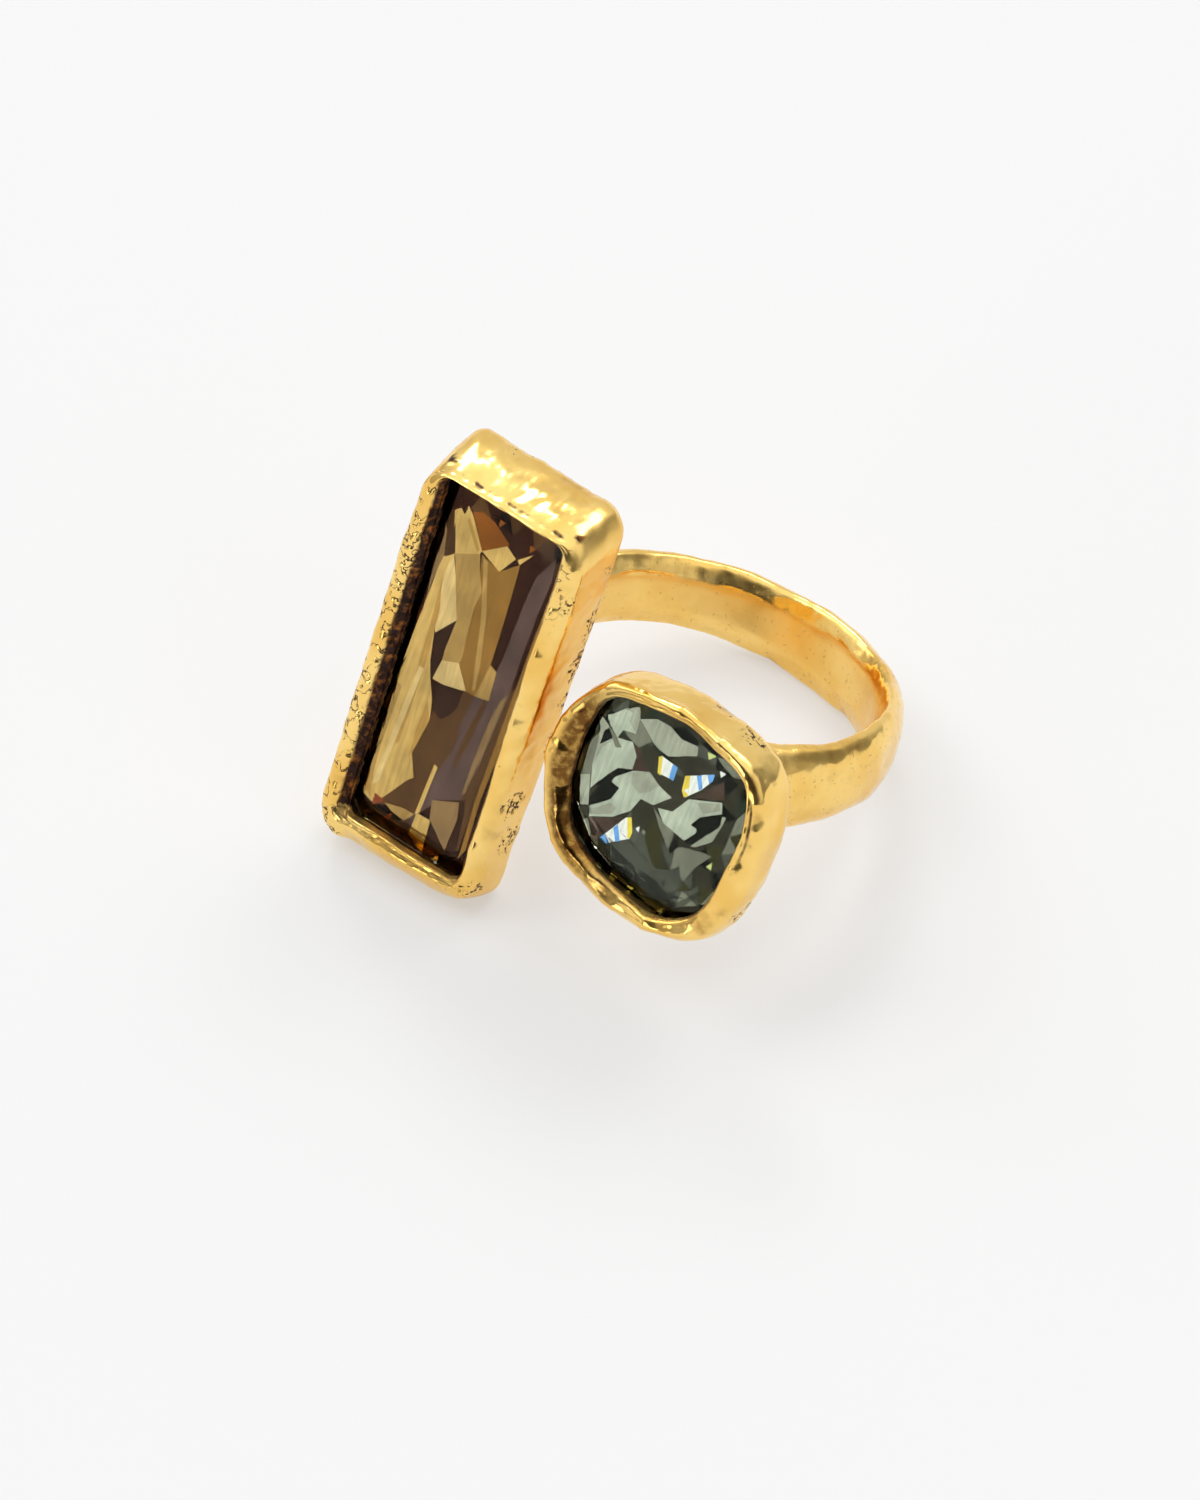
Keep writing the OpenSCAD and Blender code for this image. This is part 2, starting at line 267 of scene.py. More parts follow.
def studio_sky():
    """A grey room, brighter overhead, with the soft panels and dim parts listed above."""
    world = bpy.data.worlds.new("studio")
    world.use_nodes = True
    bpy.context.scene.world = world
    nodes = Nodes(world.node_tree)
    way = nodes.flow("ShaderNodeTexCoord", out="Generated")
    height = nodes.flow("ShaderNodeSeparateXYZ", {0: way}, out="Z")
    light = nodes.ramp(height, 0.0, 0.9, (ROOM_LOW, ROOM_HIGH), "LINEAR")
    for _, azimuth, elevation, half, soft, brightness in ROOM:
        near = nodes.flow("ShaderNodeVectorMath", {0: way, 1: heading(azimuth, elevation)},
                          out="Value", operation="DOT_PRODUCT")
        outer, inner = (math.cos(math.radians(a)) for a in (half + soft, max(half - soft, 0)))
        share = nodes.ramp(near, outer, inner)
        light = nodes.flow("ShaderNodeMix", {0: share, 2: light, 3: brightness}, data_type="FLOAT")
    nodes.feed(light, world.node_tree.nodes["Background"].inputs[0])


studio_sky()
print("sky with", len(ROOM), "panels and dim parts")


# %% The soft lamp above and behind
def soft_lamp(name, azimuth, elevation, distance, size, power):
    """A square soft lamp, seen from the ring at an azimuth and an elevation."""
    data = bpy.data.lights.new(name, "AREA")
    data.shape, data.size, data.energy = "SQUARE", size, power
    lamp = put(name, data)
    way = Vector(heading(azimuth, elevation))
    lamp.location = Vector(RING_CENTRE * MM) + way * distance
    lamp.rotation_mode = "QUATERNION"
    lamp.rotation_quaternion = way.to_track_quat("Z", "Y")


soft_lamp("lamp_behind", azimuth=-171, elevation=42, distance=2.7, size=0.72, power=14.0)
bpy.context.scene.view_settings.view_transform = "Standard"
bpy.context.scene.view_settings.look = "None"
print("lights ready")

# %% [markdown]
# ## Reading shapes from short tables
# The band and both settings are skins: closed outlines, one after another, joined into a
# surface. A short table gives each outline at a few places, and a smooth curve is drawn
# through its values, so the same table gives a coarse skin or a fine one. The solid model
# has the same tables; the steps here are finer, and the last two columns of the wall and
# of the cushion's lip, which lean the lip in or out, are added for the picture.


# %% Curves that the tables and the masks share
def through(table, places, closed=False):
    """Every column of a table read at places, which count rows and may fall between them."""
    table = np.asarray(table, float)
    n = len(table)
    places = np.atleast_1d(np.asarray(places, float))
    i = np.floor(places).astype(int)
    t = (places - i)[:, None]
    if closed:
        a, b, c, d = (table[(i + k) % n] for k in (-1, 0, 1, 2))
    else:
        a, b, c, d = (table[np.clip(i + k, 0, n - 1)] for k in (-1, 0, 1, 2))
    return b + 0.5 * t * (c - a + t * (2 * a - 5 * b + 4 * c - d + t * (3 * (b - c) + d - a)))


def waves(angle, along):
    """Soft hammered waves, from about -1 to 1; angle in degrees."""
    s = lambda degrees: np.sin(np.radians(degrees))
    return (0.5 * s(3 * angle + 47 * along) + 0.3 * s(5 * angle - 81 * along + 70)
            + 0.2 * s(9 * angle + 33 * along + 150))


def smooth(low, high, x):
    """A soft step from 0 at low to 1 at high, which may be the lesser of the two."""
    t = np.clip((np.asarray(x, float) - low) / (high - low), 0, 1)
    return t * t * (3 - 2 * t)


def bell(x, middle, width):
    return np.exp(-(((x - middle) / width) ** 2))


def within(x, low, high):
    return (x > low) & (x < high)


def degrees_off(angle, middle):
    """How far an angle lies from another one, either way round."""
    return np.abs((angle - middle + 180) % 360 - 180)


def ragged(v, seed=0.0):
    """An uneven run along an edge, from about 0 to 1."""
    return (0.5 + 0.22 * np.sin(1.9 * v + seed) + 0.16 * np.sin(4.7 * v + 1 + seed)
            + 0.12 * np.sin(11.3 * v + 2 + seed))


# %% An even mesh inside an outline
def stitched(outer, inner):
    """Triangles between two closed rows of point numbers, whatever their counts."""
    n, m, i, j, faces = len(outer), len(inner), 0, 0, []
    while i < n or j < m:
        if j >= m or (i < n and (i + 1) * m <= (j + 1) * n):
            faces.append([outer[i], outer[(i + 1) % n], inner[j % m]])
            i += 1
        else:
            faces.append([outer[i % n], inner[(j + 1) % m], inner[j]])
            j += 1
    return faces


def filled(outline, spacing):
    """Rows of points inside an outline, fewer towards the middle, and the triangles between."""
    outline = np.asarray(outline, float)
    k, closed = len(outline), np.vstack([outline, outline[:1]])
    girth = np.linalg.norm(np.diff(closed, axis=0), axis=1).sum()
    lines = math.ceil(np.hypot(*outline.T).max() / spacing)
    spread, faces, row = [], [], list(range(k))
    for share in np.linspace(1, 0, lines + 1)[1:-1]:
        count = max(6, round(girth * share / spacing))
        at = np.arange(count) * k / count
        next_row = [k + len(spread) + i for i in range(count)]
        line = np.stack([np.interp(at, np.arange(k + 1), c) for c in closed.T], 1)
        spread += (share * line).tolist()
        faces += stitched(row, next_row)
        row = next_row
    spread.append([0, 0])
    faces += [[p, q, k + len(spread) - 1] for p, q in zip(row, row[1:] + row[:1])]
    return np.array(spread), [face[::-1] for face in faces]


# %% A closed skin over rows of points
def skin(name, rings, first, last, fill=None):
    """A closed skin over rows of equally many points; its ends are fans, or the first filled."""
    rings = np.asarray(rings)
    m, k = rings.shape[:2]
    extra, fill_faces = fill if fill else (np.zeros((0, 3)), None)
    points = np.vstack([rings.reshape(-1, 3), first, last, extra])
    ring, step = np.meshgrid(np.arange(m - 1), np.arange(k), indexing="ij")
    a = (ring * k + step).ravel()
    b = (ring * k + (step + 1) % k).ravel()
    sides = np.stack([a, b, b + k, a + k], 1).tolist()
    j = np.arange(k)
    start = np.stack([np.full(k, m * k), (j + 1) % k, j], 1).tolist()
    end = np.stack([np.full(k, m * k + 1), (m - 1) * k + j, (m - 1) * k + (j + 1) % k], 1).tolist()
    if fill:
        start = [[i if i < k else i - k + m * k + 2 for i in face] for face in fill_faces]
    mesh = bpy.data.meshes.new(name)
    mesh.from_pydata(on_table(points).tolist(), [], sides + start + end)
    mesh.validate()
    bare = bmesh.new()
    bare.from_mesh(mesh)
    loose = [v for v in bare.verts if not v.link_faces]
    bmesh.ops.delete(bare, geom=loose, context="VERTS")
    bare.to_mesh(mesh)
    bare.free()
    print(name, len(mesh.polygons), "faces")
    return put(name, mesh)


# %% [markdown]
# ## The band
# The band is an oval bar bent round the finger, flat inside where the finger sits and
# domed outside. It was worked by hand, so its height, its thickness and its place along
# the finger all drift as it goes round. It could be a bevelled curve, but a table of
# sections lets the inside stay a true circle while the outside wanders.

# %% The band's measures
HOLE_R, BAND_H, BAND_T, BAND_FLAT, OVAL_IN, OVAL_POWER = 9.0, 4.8, 1.75, 0.22, 0.65, 2.3
BAND_FROM, BAND_TO, BAND_STEPS, SECTION_POINTS = 21 - 180, 180 - 5, 310, 84
HOLE_EDGE_SOFT = 0.12  # rounds the edge of the finger hole
RIM_FROM, RIM_ROLL, RIM_OUT = 0.50, 0.55, 0.10  # the hole's rims roll outward from half height on
WAVE = 0.07
BAND = [
    # [angle from the back, thickness, height, shift, slant]
    [-180, 1.30, 1.00, 0.00, 0.0],
    [-150, 1.90, 1.08, 0.00, 0.0],
    [-120, 1.60, 1.04, 0.10, 0.0],
    [-90, 1.35, 0.98, 0.30, 0.1],
    [-60, 1.00, 0.87, 0.50, 0.1],
    [-30, 1.02, 0.88, 0.46, 0.1],
    [0, 1.10, 0.94, 0.17, -0.1],
    [30, 1.08, 0.97, 0.05, -0.3],
    [60, 0.97, 1.00, -0.05, -0.1],
    [90, 1.00, 1.00, -0.10, 0.0],
    [120, 1.12, 1.01, -0.38, 0.0],
    [150, 1.45, 1.08, -0.20, 0.0],
    [180, 1.15, 1.05, 0.00, 0.0],
]


# %% One section of the band
def band_section(angle):
    """One section of the band, at an angle from the back."""
    _, thick, high, shift, slant = through(BAND, (angle + 180) / 30)[0]
    q = 360 * np.arange(SECTION_POINTS) / SECTION_POINTS
    cos_q, sin_q = np.cos(np.radians(q)), np.sin(np.radians(q))
    keep = lambda v: np.sign(v) * np.abs(v) ** (2 / OVAL_POWER)
    outside = cos_q > 0
    reach = np.where(outside, BAND_T * thick - OVAL_IN, OVAL_IN + BAND_FLAT)
    r = HOLE_R + OVAL_IN + reach * keep(cos_q) + np.where(outside, WAVE * waves(angle, q / 90), 0)
    z = shift + BAND_H * high / 2 * keep(sin_q) + slant * (r - HOLE_R - OVAL_IN / 2)
    z = z + WAVE * waves(2 * angle, 0.5) * sin_q
    r = HOLE_R + 0.5 * ((r - HOLE_R) + np.sqrt((r - HOLE_R) ** 2 + HOLE_EDGE_SOFT**2))
    rim = np.clip((np.abs(sin_q) - RIM_FROM) / (1 - RIM_FROM), 0, 1) * (cos_q < 0)
    r = r + RIM_ROLL * rim * (1 - rim) + RIM_OUT * rim
    s, c = math.sin(math.radians(angle)), math.cos(math.radians(angle))
    return np.stack([r * s, r * c, z], 1)


def band_middle(angle):
    a, r = math.radians(angle), HOLE_R + OVAL_IN
    return [r * math.sin(a), r * math.cos(a), 0]


# %% Make the band
band_sections = [band_section(a) for a in np.linspace(BAND_FROM, BAND_TO, BAND_STEPS)]
band = skin("band", band_sections, band_middle(BAND_FROM), band_middle(BAND_TO))

# %% [markdown]
# ## The tall setting
# A box with a thick wall, whose front edge is the lip that holds the long stone. Its wall
# is one profile, carried round the window: up the outside, over the lip, down the inside,
# and under the stone's edge. The outside is wider at the back, leans, and loses its
# sharpness towards the front, where it is worn. The left lip breaks off in a ragged inner
# slope, the right one is rounded into the wall, and the top is one soft roll.

# %% The profile of a setting's wall, read in fine steps
LIP_COVER, STONE_GAP = 0.4, 0.12
SEAT = LIP_COVER + STONE_GAP
WALL = [
    # [share of the lip, outward, share of the depth, depth, in, out]
    [0.45, 0, 1, 0.00, 0, 0],
    [0.86, 0, 1, -0.12, 0, 0],
    [1.00, 0, 1, -0.55, 0, 0],
    [1.05, 0, 0.5, 0.00, 0, 0],
    [1.00, 0, 0, 0.75, 0, 0.5],
    [0.92, 0, 0, 0.30, 0, 1],
    [0.70, 0, 0, 0.06, 0.1, 0.8],
    [0.30, 0, 0, 0.00, 0.7, 0.1],
    [0.08, 0, 0, 0.14, 1, 0],
    [0.00, 0, 0, 0.36, 0.7, 0],
    [0.00, 0, 0, 0.66, 0.2, 0],
    [0.00, SEAT, 0, 0.92, 0, 0],
]
SIDE_STEP, LIP_STEP, BACK_SPACING = 0.22, 0.07, 0.42


def fine_wall(lip, deep):
    """The profile with small steps over the lip, where the light shows every dent."""
    rows = np.array(WALL)
    flat = np.stack([rows[:, 0] * lip + rows[:, 1], rows[:, 2] * deep + rows[:, 3]], 1)
    places = [0.0]
    for i, length in enumerate(np.linalg.norm(np.diff(flat, axis=0), axis=1)):
        step = LIP_STEP if 3 < i < 10 else SIDE_STEP if i in (2, 3) else 2 * SIDE_STEP
        count = max(1, math.ceil(length / step))
        places += list(i + (np.arange(count) + 1) / count)
    return through(rows, places[:-1] + [len(rows) - 1])


def even_back(setting, ring):
    """A setting's back as an even mesh inside its first ring, so dents show alike all over."""
    u, depth, v = setting.read(ring)
    spread, faces = filled(np.stack([u, v], 1), BACK_SPACING)
    slope = np.linalg.lstsq(np.stack([u, v, np.ones(len(u))], 1), depth, rcond=None)[0]
    return setting.place(spread[:, 0], spread @ slope[:2] + slope[2], spread[:, 1]), faces


# %% A rectangle with round corners
CORNER_STEPS, LONG_STEPS, SHORT_STEPS = 10, 190, 70


def arc(x, z, r, start):
    a = np.radians(start + 90 * np.arange(CORNER_STEPS + 1) / CORNER_STEPS)
    return np.stack([x + r * np.cos(a), z + r * np.sin(a)], 1)


def between(p, q, steps):
    return p + (q - p) * (np.arange(1, steps) / steps)[:, None]


def box_outline(w, h, r, first_r):
    """A rectangle with round corners; the top right corner comes first, with its own radius."""
    x, z = w / 2 - r, h / 2 - r
    a, b = arc(w / 2 - first_r, h / 2 - first_r, first_r, 0), arc(-x, z, r, 90)
    c, d = arc(-x, -z, r, 180), arc(x, -z, r, 270)
    return np.vstack([
        a, between(a[-1], b[0], SHORT_STEPS), b, between(b[-1], c[0], LONG_STEPS),
        c, between(c[-1], d[0], SHORT_STEPS), d, between(d[-1], a[0], LONG_STEPS),
    ])


# %% A setting's own plane
class Setting:
    """A setting's own plane: u to the right, v up, and depth measured back from its front."""

    def __init__(self, front, x, z, lean, roll):
        self.turn = turn("X", lean) @ turn("Y", roll)
        self.origin = np.array([x, -front, z])

    def place(self, u, depth, v):
        u, depth, v = np.broadcast_arrays(*(np.asarray(x, float) for x in (u, depth, v)))
        return np.stack([u, depth, v], -1) @ self.turn.T + self.origin

    def read(self, points):
        """u, depth and v of points in the ring's own frame."""
        return ((np.asarray(points) - self.origin) @ self.turn).T


# %% The tall setting's place and measures
TALL = Setting(front=14.3, x=-7.3, z=0.55, lean=3.5, roll=3.5)
TALL_WIN = (7.7, 21.4)
TALL_LIP = {"left": 1.3, "right": 1.15, "top": 1.4, "foot": 1.65}
TALL_DEEP, TALL_WEDGE, TALL_POCKET, TALL_WORN = 4.25, 0.35, 2.7, 0.88
TALL_R = {"window": 0.7, "front": 1.6, "back": 0.65, "worn corner": 1.35}
TALL_DRIFT, TALL_FOOT_SLOPE, TALL_BOW = 0.9, 2.2, 0.25
# the groove above the top lip: how far behind the front it runs, its half width and its depth
TOP_GROOVE_AT, TOP_GROOVE_W, TOP_GROOVE_DEEP = 0.42, 0.15, 0.16
FOOT_RIDGES = [
    # [share of the lip, half width, depth]
    [0.03, 0.04, -0.06],
    [0.16, 0.06, 0.17],
    [0.32, 0.08, -0.07],
]


# %% Its outline at one step of the wall
def tall_outline(share, out, deep_share, depth):
    to_back = max(1 - deep_share - depth / TALL_DEEP, 0)
    left, right = TALL_LIP["left"] * share + out, TALL_LIP["right"] * share + out
    top = TALL_LIP["top"] * share * (1 - TALL_WORN * to_back**2) + out
    foot = TALL_LIP["foot"] * share + out
    outer = TALL_R["front"] + (TALL_R["back"] - TALL_R["front"]) * deep_share
    worn_r = TALL_R["front"] + (TALL_R["worn corner"] - TALL_R["front"]) * deep_share
    r, first_r = (TALL_R["window"] + (end - TALL_R["window"]) * share for end in (outer, worn_r))
    w, h = TALL_WIN[0] + left + right, TALL_WIN[1] + top + foot
    x, z = box_outline(w, h, r, first_r).T
    bow = np.where(x < 0, TALL_BOW * share * (1 - (2 * z / h) ** 2), 0)
    u = x + (right - left) / 2 + z * math.sin(math.radians(TALL_DRIFT)) * min(share, 1) - bow
    v = z + (top - foot) / 2
    foot_slope = math.tan(math.radians(TALL_FOOT_SLOPE))
    v = v + x * foot_slope * share * np.maximum(-2 * z / TALL_WIN[1], 0)
    return u, v


# %% One ring of its wall, with the wear of its lip
def tall_ring(share, out, deep_share, depth, lean_in, lean_out):
    u, v = tall_outline(share, out, deep_share, depth)
    behind = deep_share * TALL_DEEP + depth
    groove = math.exp(-(((behind - TOP_GROOVE_AT) / TOP_GROOVE_W) ** 2)) * (share > 0.85)
    in_top = smooth(10.3, 10.8, v) * smooth(4.6, 3.6, np.abs(u))
    v = v - TOP_GROOVE_DEEP * groove * ragged(1.3 * u) * in_top
    a = np.degrees(np.arctan2(v / 2, u))
    push = 1 + 0.2 * WAVE * share * waves(a, 2 * deep_share)
    back = TALL_DEEP + TALL_WEDGE * 2 * v / TALL_WIN[1]
    # which side of the window a point is on
    below_top = smooth(12.0, 8.6, v)
    left, right = smooth(-3.3, -3.9, u) * below_top, smooth(3.3, 3.9, u) * below_top
    foot = smooth(-10.3, -10.9, v) * (1 - left) * (1 - right)
    # how each side's lip leans, and the ridges along the foot
    at_front = deep_share == 0
    break_off = smooth(0.42, 0.10, share) * at_front * (depth < 0.6) * (0.25 + 0.35 * ragged(v))
    slope = left * break_off + right * (0.42 * lean_out + 0.10 * lean_in) + foot * 0.45 * lean_out
    for middle, width, deep in FOOT_RIDGES:
        ridge = bell(share, middle + 0.03 * np.sin(1.7 * u), width)
        uneven = 0.6 + 0.8 * ragged(1.1 * u)
        slope = slope + foot * deep * uneven * ridge * (depth < 0.5) * at_front
    wavy = WAVE * waves(a + 60, 1) * (1 - deep_share)
    return TALL.place(u * push, deep_share * back + depth + slope + wavy, v)


# %% Make the tall setting
tall_rings = [tall_ring(*row) for row in fine_wall(lip=1.3, deep=TALL_DEEP)]
u, v = tall_outline(0, SEAT, 0, TALL_POCKET)
tall_rings.append(TALL.place(u, TALL_POCKET, v))
tall_setting = skin("tall_setting", tall_rings, TALL.place(0, TALL_DEEP, 0),
                    TALL.place(0, TALL_POCKET, 0), even_back(TALL, tall_rings[0]))

# %% [markdown]
# ## The cushion setting
# The second setting was pushed over its stone by hand, so its window is a lumpy rounded
# square and no two stretches of its lip are alike. A table read round the window gives
# the window's radius and the lip's width, and the same wall profile goes round it.

# %% The cushion setting's place and measures
CUSHION = Setting(front=13.6, x=5.6, z=-0.75, lean=2.0, roll=5.0)
CUSHION_DEEP, CUSHION_POCKET, CUSHION_STEPS = 3.25, 2.6, 400
CUSHION_LIP = [
    # [angle, window radius, lip width, in, out]
    [0, 5.05, 1.40, 0.00, 0.30],
    [22.5, 5.60, 1.15, 0.00, 0.25],
    [45, 6.20, 0.90, 0.00, 0.10],
    [67.5, 5.60, 0.80, 0.10, 0.00],
    [90, 5.45, 0.70, 0.10, 0.00],
    [112.5, 5.60, 0.75, 0.05, 0.05],
    [135, 6.10, 0.90, 0.10, 0.10],
    [157.5, 5.55, 1.35, 0.25, 0.00],
    [180, 5.20, 1.60, 0.30, 0.00],
    [202.5, 5.30, 1.60, 0.30, 0.00],
    [225, 5.60, 1.50, 0.25, 0.05],
    [247.5, 5.40, 1.40, 0.15, 0.10],
    [270, 5.40, 1.30, 0.10, 0.15],
    [292.5, 5.90, 1.10, 0.00, 0.20],
    [315, 5.85, 1.45, 0.05, 0.20],
    [337.5, 5.25, 1.50, 0.00, 0.30],
]
# ridges and grooves that the pushing tool left along the lip
CUSHION_RIDGES = [
    # [angle, half its length, share of the lip, half width, depth]
    [105, 55, 0.22, 0.10, -0.11],
    [100, 50, 0.47, 0.10, 0.10],
    [95, 55, 0.74, 0.12, -0.10],
    [12, 40, 0.16, 0.09, -0.15],
    [20, 26, 0.37, 0.10, 0.17],
    [185, 60, 0.88, 0.10, -0.12],
    [232, 30, 0.30, 0.12, -0.12],
    [280, 45, 0.35, 0.10, 0.12],
    [285, 50, 0.62, 0.12, -0.10],
]


# %% One ring of its wall, with its ridges
def lip_at(angle):
    """Window radius, lip width and both slopes of the cushion's lip at an angle."""
    return through(CUSHION_LIP, angle / 22.5, closed=True).T[1:]


def cushion_ridges(a, share):
    depth = np.zeros(len(a))
    for angle, length, middle, width, deep in CUSHION_RIDGES:
        wander = middle + 0.05 * np.sin(np.radians(7 * a + 40 * middle))
        run = smooth(length, 0.4 * length, degrees_off(a, angle))
        depth += deep * run * bell(share, wander, width)
    return depth


def cushion_outline(share, out, steps=CUSHION_STEPS, start=0.0):
    a = start + 360 * np.arange(steps) / steps
    window, lip, _, _ = lip_at(a)
    r = window + share * lip + out
    return a, r * np.cos(np.radians(a)), r * np.sin(np.radians(a))


def cushion_ring(share, out, deep_share, depth, lean_in, lean_out):
    a, u, v = cushion_outline(share, out)
    _, _, slope_in, slope_out = lip_at(a)
    ridges = cushion_ridges(a, share) * (deep_share == 0) * (depth < 0.5)
    slope = lean_in * slope_in + lean_out * slope_out + ridges
    wavy = 1.6 * WAVE * waves(a + 20, 2) * (1 - deep_share)
    return CUSHION.place(u, deep_share * CUSHION_DEEP + depth + slope + wavy, v)


# %% Make the cushion setting
cushion_rings = [cushion_ring(*row) for row in fine_wall(lip=1.2, deep=CUSHION_DEEP)]
_, u, v = cushion_outline(0, SEAT)
cushion_rings.append(CUSHION.place(u, CUSHION_POCKET, v))
cushion_setting = skin("cushion_setting", cushion_rings, CUSHION.place(0, CUSHION_DEEP, 0),
                       CUSHION.place(0, CUSHION_POCKET, 0), even_back(CUSHION, cushion_rings[0]))

# %% [markdown]
# ## One casting
# The real ring has no joint between band and settings, so the three skins are joined into
# one closed surface with a boolean, which also takes away what lies inside.


# %% Join the three skins
def joined(base, *others):
    for other in others:
        cut = base.modifiers.new("join_" + other.name, "BOOLEAN")
        cut.operation, cut.solver, cut.object = "UNION", "MANIFOLD", other
    graph = bpy.context.evaluated_depsgraph_get()
    mesh = bpy.data.meshes.new_from_object(base.evaluated_get(graph))
    for o in (base, *others):
        bpy.data.objects.remove(o)
    return mesh


casting_mesh = joined(tall_setting, cushion_setting, band)
casting_mesh.name = "casting"
print("casting", len(casting_mesh.vertices), "points", len(casting_mesh.polygons), "faces")

# %% [markdown]
# ## Where the metal is worn, cracked and dark
# Old-looking gold is not alike all over. The pocket walls are brown and rough, the pale
# left lip has worm-like cracks, and small pits gather on the back edges and near the
# foot. Each of these is a soft mask on the points of the mesh, worked out from where a
# point lies in its setting, so that both the shape and the finish can follow it.


# %% Measure every point of the casting
count = len(casting_mesh.vertices)
places = np.zeros(count * 3, np.float32)
casting_mesh.vertices.foreach_get("co", places)
places = off_table(places.reshape(-1, 3))
tu, td, tv = TALL.read(places)
cu, cd, cv = CUSHION.read(places)
tall_out = np.maximum(np.abs(tu) - TALL_WIN[0] / 2, np.abs(tv) - TALL_WIN[1] / 2)
angle = np.degrees(np.arctan2(cv, cu)) % 360
window_r, lip_w, slope_in, _ = lip_at(angle)
cushion_out = np.hypot(cu, cv) - window_r
on_lip = cushion_out / lip_w
round_r = np.hypot(places[:, 0], places[:, 1])
in_tall = (tall_out < 0.95) & within(td, -0.5, 3.0)
in_cushion = (cushion_out < 0.9) & within(cd, -0.5, 2.9)
WALL_W, TALL_BACK = 2.2, 4.9  # a little more than any wall is wide, or the tall setting is deep
tall_metal = within(tall_out, -0.1, WALL_W) * within(td, -0.7, TALL_BACK)
TALL_TOP = TALL_WIN[1] / 2


def points_on(mask):
    return int((mask > 0.1).sum())


print("points in the pockets:", points_on(in_tall), "tall,", points_on(in_cushion), "cushion")

# %% The walls round each stone, which are brown and rough
left_side = smooth(-3.2, -3.5, tu)
tall_edge = np.where((left_side > 0.5) & (tv < 10.3), 0.62, 0.10)
tall_wall = in_tall * smooth(0.10, 0.24, td) * smooth(tall_edge, tall_edge - 0.1, tall_out)
cushion_wall = in_cushion * smooth(0.12, -0.04, cushion_out) * smooth(0.2, 0.6, cd) * 0.8
pocket = np.maximum(tall_wall + (tall_out < 0.6) * within(td, 0.8, 3.0),
                    cushion_wall + (cushion_out < 0.6) * within(cd, 0.9, 2.8))
foot_wall = (tv < -10.4) & within(tall_out, -1.0, 0.7)
pocket = np.clip(pocket, 0, 1) * np.where(foot_wall, 0.62, 1.0)
print("brown walls on", points_on(pocket), "points")

# %% The painted shade on the slope inside the cushion's lip, widest at the left, and the grooves, which get painted shade too
painted_slope_shade = (smooth(0.02, 0.22, slope_in) * smooth(0.80, 0.50, on_lip)
           * smooth(-0.3, 0.0, cushion_out) * within(cd, -0.6, 1.0))
right_groove = smooth(26, 12, degrees_off(angle, 20)) * bell(on_lip, 0.37, 0.09) * (cd < 0.8)
upper_groove = smooth(50, 20, degrees_off(angle, 100)) * bell(on_lip, 0.47, 0.08) * (cd < 0.8)
top_groove = (bell(td, TOP_GROOVE_AT, 0.12) * smooth(10.6, 10.75, tv) * smooth(11.7, 11.3, tv)
              * smooth(4.4, 3.6, np.abs(tu)) * ragged(1.3 * tu))
foot_groove = bell(tall_out, 0.27, 0.09) * smooth(-10.6, -10.8, tv) * (td < 0.5)
# painted shade: the finish darkens the metal along these grooves
groove = np.maximum.reduce([
    0.75 * right_groove * (cushion_out > 0), 0.5 * upper_groove * (cushion_out > 0),
    top_groove, 0.7 * foot_groove])
print("browned on", points_on(painted_slope_shade), "points, grooves on", points_on(groove))

# %% The worm-like cracks, mostly on the pale left lip, and the broad hammer marks
tall_lip = within(tall_out, -0.2, 1.6) * smooth(0.55, 0.15, td) * (td > -0.6)
cracks_at_right = 0.45 * smooth(3, 8, tv)
cracks_between = np.where(tv < 0, 0.22, 0.12)
lip_side = np.where(tu < -3.6, 1.0, np.where(tu > 3.6, cracks_at_right, cracks_between))
cushion_lip = within(cushion_out, -0.2, 1.8) * smooth(0.8, 0.3, cd) * (cd > -0.7)
lip = np.maximum(tall_lip * lip_side, cushion_lip * 0.12)
lumps = np.maximum(cushion_lip * smooth(-0.1, 0.3, cushion_out), 0.35)
print("lips on", points_on(lip), "points")

# %% The crumpled skin on top of both settings
tall_top = within(td, -0.3, TALL_BACK) * smooth(TALL_TOP + 0.2, TALL_TOP + 0.6, tv)
cushion_top = smooth(0.6, 1.1, cd) * (cd < 3.8) * smooth(4.2, 5.4, cv)
crumple = np.maximum((tall_out < WALL_W) * tall_top, 0.6 * (cushion_out < WALL_W) * cushion_top)
print("crumpled on", points_on(crumple), "points")

# %% How far each place is worn soft
# most of all the top of the tall box, its right edge, and the corner behind the settings
worn_top = 0.45 * tall_metal * smooth(TALL_TOP + 0.25, TALL_TOP + 0.6, tv) * smooth(3.8, 3.0, td)
worn_right = 0.8 * tall_metal * smooth(4.15, 4.6, tu)
on_ring = smooth(8.3, 9.0, round_r) * smooth(13.2, 12.2, round_r)
behind_tall = smooth(1.1, 0.5, np.abs(td - TALL_DEEP)) * (tall_out < 0.9)
behind_cushion = smooth(1.1, 0.5, np.abs(cd - CUSHION_DEEP)) * (cushion_out < 0.6)
worn_behind = (0.95 * on_ring * np.maximum(behind_tall, behind_cushion)
               * smooth(4.2, 3.2, np.abs(places[:, 2])))
worn = np.maximum.reduce([0.25 * np.ones(count), worn_top, worn_right, worn_behind])
worn = (worn * (1 - np.clip(pocket * 2, 0, 1))
        * np.where(tall_metal > 0, smooth(0.0, 0.35, tall_out), 1.0))
print("worn on", points_on(worn), "points")

